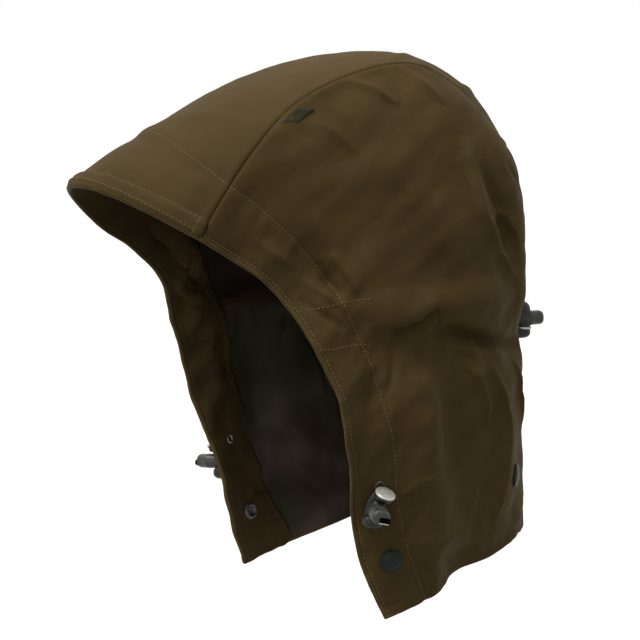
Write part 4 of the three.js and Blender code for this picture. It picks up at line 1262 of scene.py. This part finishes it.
def barrelMesh(name, seat, shape):
    # An oval push button with a rounded end. Its slot is not cut into it: makeLock lays a black block of painted shade
    # on its lower edge
    across, tall = shape["barrelHalves"]
    foot, end = shape["barrelFoot"], shape["barrelEnd"]
    # (height, size): a stem, a raised band, and an end that rounds off
    stations = [(foot, 0.0), (foot, 0.90), (foot + 0.5, 0.97), (foot + 9.5, 0.97), (foot + 9.8, 1.0),
                (foot + 10.6, 1.0), (foot + 10.9, 0.965), (end - 3.4, 0.96), (end - 2.0, 0.93), (end - 1.0, 0.86),
                (end - 0.4, 0.76), (end - 0.05, 0.62), (end, 0.45), (end, 0.0)]
    sides = 48
    angle = np.arange(sides) / sides * 2 * np.pi
    squared = lambda value: np.sign(value) * np.abs(value) ** shape["barrelPower"]
    rings = np.array([np.stack([squared(np.cos(angle)) * across * size, np.full(sides, height),
                                squared(np.sin(angle)) * tall * size], -1) for height, size in stations])
    return ringPiece(name, seat, np.stack(barrelPlace(shape, rings[..., 0], rings[..., 1], rings[..., 2]), -1))


def makeLock(side, seat, shape):
    base = shape["base"], shape["darkLobe"], shape["neck"]
    blocks = [roundBlock("block", seat, part["centre"], part["halves"], 0.8) for part in base]
    blocks.append(turned("drum", seat, drumOutline, 48, shape["discCentre"], shape["discAxis"]))
    keep(joined(f"lock_{side}_body", blocks), darkAcetal, "lock_plastic", f"cord_lock_{side}_body")
    keep(barrelMesh(f"lock_{side}_barrel", seat, shape), greyAcetal, "lock_plastic", f"cord_lock_{side}_button")
    disc = turned(f"lock_{side}_disc", seat, discOutline, 48, shape["discCentre"], shape["discAxis"])
    keep(disc, zincDiscAndSlotHighlight, "eyelet_metal")
    # The slot in the end of the barrel is a black block of painted shade, with its pale lower lip of painted highlight
    x, z = shape["slotCentre"]
    halfX, halfZ = shape["slotHalf"]
    slotAt = barrelPlace(shape, x, shape["barrelEnd"] - shape["slotFront"], z)
    halves = halfX, shape["slotDeep"], halfZ
    slotShade = roundBlock(f"lock_{side}_slot", seat, slotAt, halves, 0.5, 12, 24, shape["barrelTilt"])
    keep(slotShade, slotShadeBlack, "lock_plastic")
    # Painted highlight: the lip under the slot takes the bright zinc finish
    lipAt = barrelPlace(shape, x, shape["barrelEnd"], z - halfZ - shape["lipGap"])
    halves = halfX * shape["lipShare"], shape["lipDeep"], shape["lipHalf"]
    lip = roundBlock(f"lock_{side}_lip", seat, lipAt, halves, 0.7, 10, 20, shape["barrelTilt"])
    keep(lip, zincDiscAndSlotHighlight, "lock_plastic")


elastic = {"radius": 0.95, "aside": 1.0, "bow": 2.2, "start": (-1.8, 0.2, 13.2), "end": (-1.2, 4.5, 9.5)}


def cordBridge(name, seat, start, end):
    # The short run of elastic between an eyelet and its lock
    strands = []
    shares = np.linspace(0, 1, 14)[:, None]
    outward = np.tile(seat["axes"][1], (len(shares), 1))
    for aside in (-elastic["aside"], elastic["aside"]):
        local = np.array(start) * (1 - shares) + np.array(end) * shares
        local[:, 1] += elastic["bow"] * np.sin(np.pi * shares[:, 0])
        local[:, 0] += aside
        strands.append(ropeMesh("strand", fromSeat(seat, local), (elastic["radius"], elastic["radius"]), outward))
    keep(joined(name, strands), cordBlack, "lock_plastic")


def backLockSeat():
    # Up the middle of the back from the hem, to the height of the lock
    shares = np.arange(1.0, 0.3, -0.002)
    middle = crownPoints(shares, np.zeros(len(shares)))
    share = shares[np.argmax(middle[:, 2] >= -hardware["backLockDown"])]
    aside = -hardware["backLockAside"] / seamLine.along(share)[0, 0]
    return spotFrame(lambda across, down: crownPoints(down, -across), aside, share)


def makeLocks():
    point, out = spotFrame(sidePoints, *spots["lock"])
    seat = standing(point, out, -hardware["lockLean"])
    seat["point"] = seat["point"] + seat["axes"][0] * lockShape["shift"]
    for side, place in (("left", seat), ("right", mirroredSeat(seat))):
        makeLock(side, place, lockShape)
        cordBridge(f"elastic_{side}", place, elastic["start"], elastic["end"])
    point, out = backLockSeat()
    # The back lock hangs the other way up, and its barrel stands straight out
    seat = standing(point, out)
    turnedOver = dict(lockShape, darkLobe={"centre": (0, 8.4, 5.6), "halves": (7.0, 8.0, 7.2)},
                      neck={"centre": (0, 8.8, -9.6), "halves": (6.2, 7.2, 4.4)},
                      discCentre=(0, 10.2, -6.4), discAxis=(0.0, -0.10, -0.99), barrelTilt=0.0)
    makeLock("back", seat, turnedOver)
    print("hardware made")


# The tab in the left seam is bare tape, doubled
tabSizes = {"length": 15.5, "drop": 7.0, "slant": 7.0, "fromBrow": 92.0, "fromSeam": 3.0, "clear": 0.35,
            "thick": 0.95, "edgeShare": 0.62, "edgeReach": 0.9, "wave": 0.12, "ripples": 7, "sunk": 0.2,
            "seamShare": 0.37, "columns": 26, "rows": 14, "samples": 21}


def makeTab():
    sizes = tabSizes
    along, down = np.meshgrid(np.linspace(0, 1, sizes["columns"]), np.linspace(0, 1, sizes["rows"]))
    uGrid = (sizes["fromBrow"] + sizes["length"] * along + sizes["slant"] * down) / topSeamLength
    fall = sidePoints(np.full(sizes["samples"], sizes["seamShare"]), np.linspace(0, 1, sizes["samples"]))
    vGrid = (sizes["fromSeam"] + sizes["drop"] * down) / pathRuns(fall)[0].sum()
    base = sidePoints(uGrid.ravel(), vGrid.ravel()).reshape(uGrid.shape + (3,))
    normals = gridNormals(base)
    edge = np.minimum(np.minimum(along, 1 - along) * sizes["length"], np.minimum(down, 1 - down) * sizes["drop"])
    share = sizes["edgeShare"] + (1 - sizes["edgeShare"]) * easeIn(edge / sizes["edgeReach"])
    crowned = sizes["thick"] * share + sizes["wave"] * np.sin(along * sizes["ripples"]) * down
    near = base + normals * (sizes["clear"] + crowned)[:, :, None]
    far = base + normals * (sizes["clear"] - sizes["sunk"])
    piece = clothWall("bare_seam_tab", near, far, (runAlong(base, 1), runAlong(base, 0)))
    keep(piece, wovenTape, "tab_cloth", "seam_tab")


sideCloth, facingGrids = makeSides()
print("side panels made")
backPoint = backLockSeat()[0]
crownCloth = makeCrown([(backPoint, crownRelief["lockFade"])])
print("crown made")
makeRims(sideCloth, crownCloth)
stitching = stitchTree()
sewHood(sideCloth, crownCloth, facingGrids, stitching)
makeStuds()
makeEyelets()
makeLocks()
makeTab()

studio = {"floorDrop": 0.16, "floorReach": 14.0, "floorRoughness": 0.9, "floorShades": ("#f6f5f3", "#fbfaf8"),
          "ambient": 0.27,
          "sunFrom": (0.03, -0.45, 0.89), "sunSpread": 40.0, "sunStrength": 3.2,
          "rimFrom": (0.35, 0.85, 0.35), "rimSpread": 30.0, "rimStrength": 0.2,
          "fillFrom": (0.64, -0.76, 0.05), "fillSpread": 50.0, "fillStrength": 0.46}


def addSun(name, comesFrom, spread, strength):
    sun = bpy.data.lights.new(name, "SUN")
    sun.angle, sun.energy = np.radians(spread), strength
    holder = bpy.data.objects.new(name, sun)
    holder.rotation_euler = (-Vector(comesFrom)).to_track_quat("-Z", "Y").to_euler()
    bpy.context.scene.collection.objects.link(holder)


def makeStudio():
    low = cadBox[0][2] - studio["floorDrop"]
    reach = studio["floorReach"]
    mesh = bpy.data.meshes.new("studio floor")
    corners = [(-reach, -reach, low), (reach, -reach, low), (reach, reach, low), (-reach, reach, low)]
    mesh.from_pydata(corners, [], [(0, 1, 2, 3)])
    floor = bpy.data.objects.new("studio_floor", mesh)
    bpy.context.scene.collection.objects.link(floor)
    paper, tree, shader = newFinish("white paper floor", Roughness=studio["floorRoughness"])
    grain = addNode(tree, "ShaderNodeTexNoise", {"Scale": 2.0, "Detail": 1.0})
    pale, palest = (tint(shade) for shade in studio["floorShades"])
    mixed = addNode(tree, "ShaderNodeMix", {0: grain.outputs["Fac"], 6: pale, 7: palest}, data_type="RGBA")
    tree.links.new(mixed.outputs[2], shader.inputs["Base Color"])
    mesh.materials.append(paper)
    # The floor throws no light back up: nothing in the photo is lit from below
    floor.visible_diffuse = floor.visible_glossy = False
    addSun("high_front", studio["sunFrom"], studio["sunSpread"], studio["sunStrength"])
    addSun("low_front", studio["fillFrom"], studio["fillSpread"], studio["fillStrength"])
    addSun("low_back", studio["rimFrom"], studio["rimSpread"], studio["rimStrength"])
    # The backdrop is white to look at, and lights the hood less than it shows
    world = bpy.data.worlds.new("white studio")
    world.use_nodes = True
    tree = world.node_tree
    dim = tree.nodes["Background"]
    dim.inputs["Strength"].default_value = studio["ambient"]
    dim.inputs["Color"].default_value = (1.0, 1.0, 1.0, 1.0)
    white = addNode(tree, "ShaderNodeBackground", {"Color": (1.0, 1.0, 1.0, 1.0), "Strength": 1.0})
    rays = addNode(tree, "ShaderNodeLightPath")
    both = addNode(tree, "ShaderNodeMixShader",
                   {0: rays.outputs["Is Diffuse Ray"], 1: white.outputs[0], 2: dim.outputs[0]})
    tree.links.new(both.outputs[0], tree.nodes["World Output"].inputs["Surface"])
    bpy.context.scene.world = world
    bpy.context.scene.view_settings.view_transform = "Standard"


makeStudio()
print("studio set")
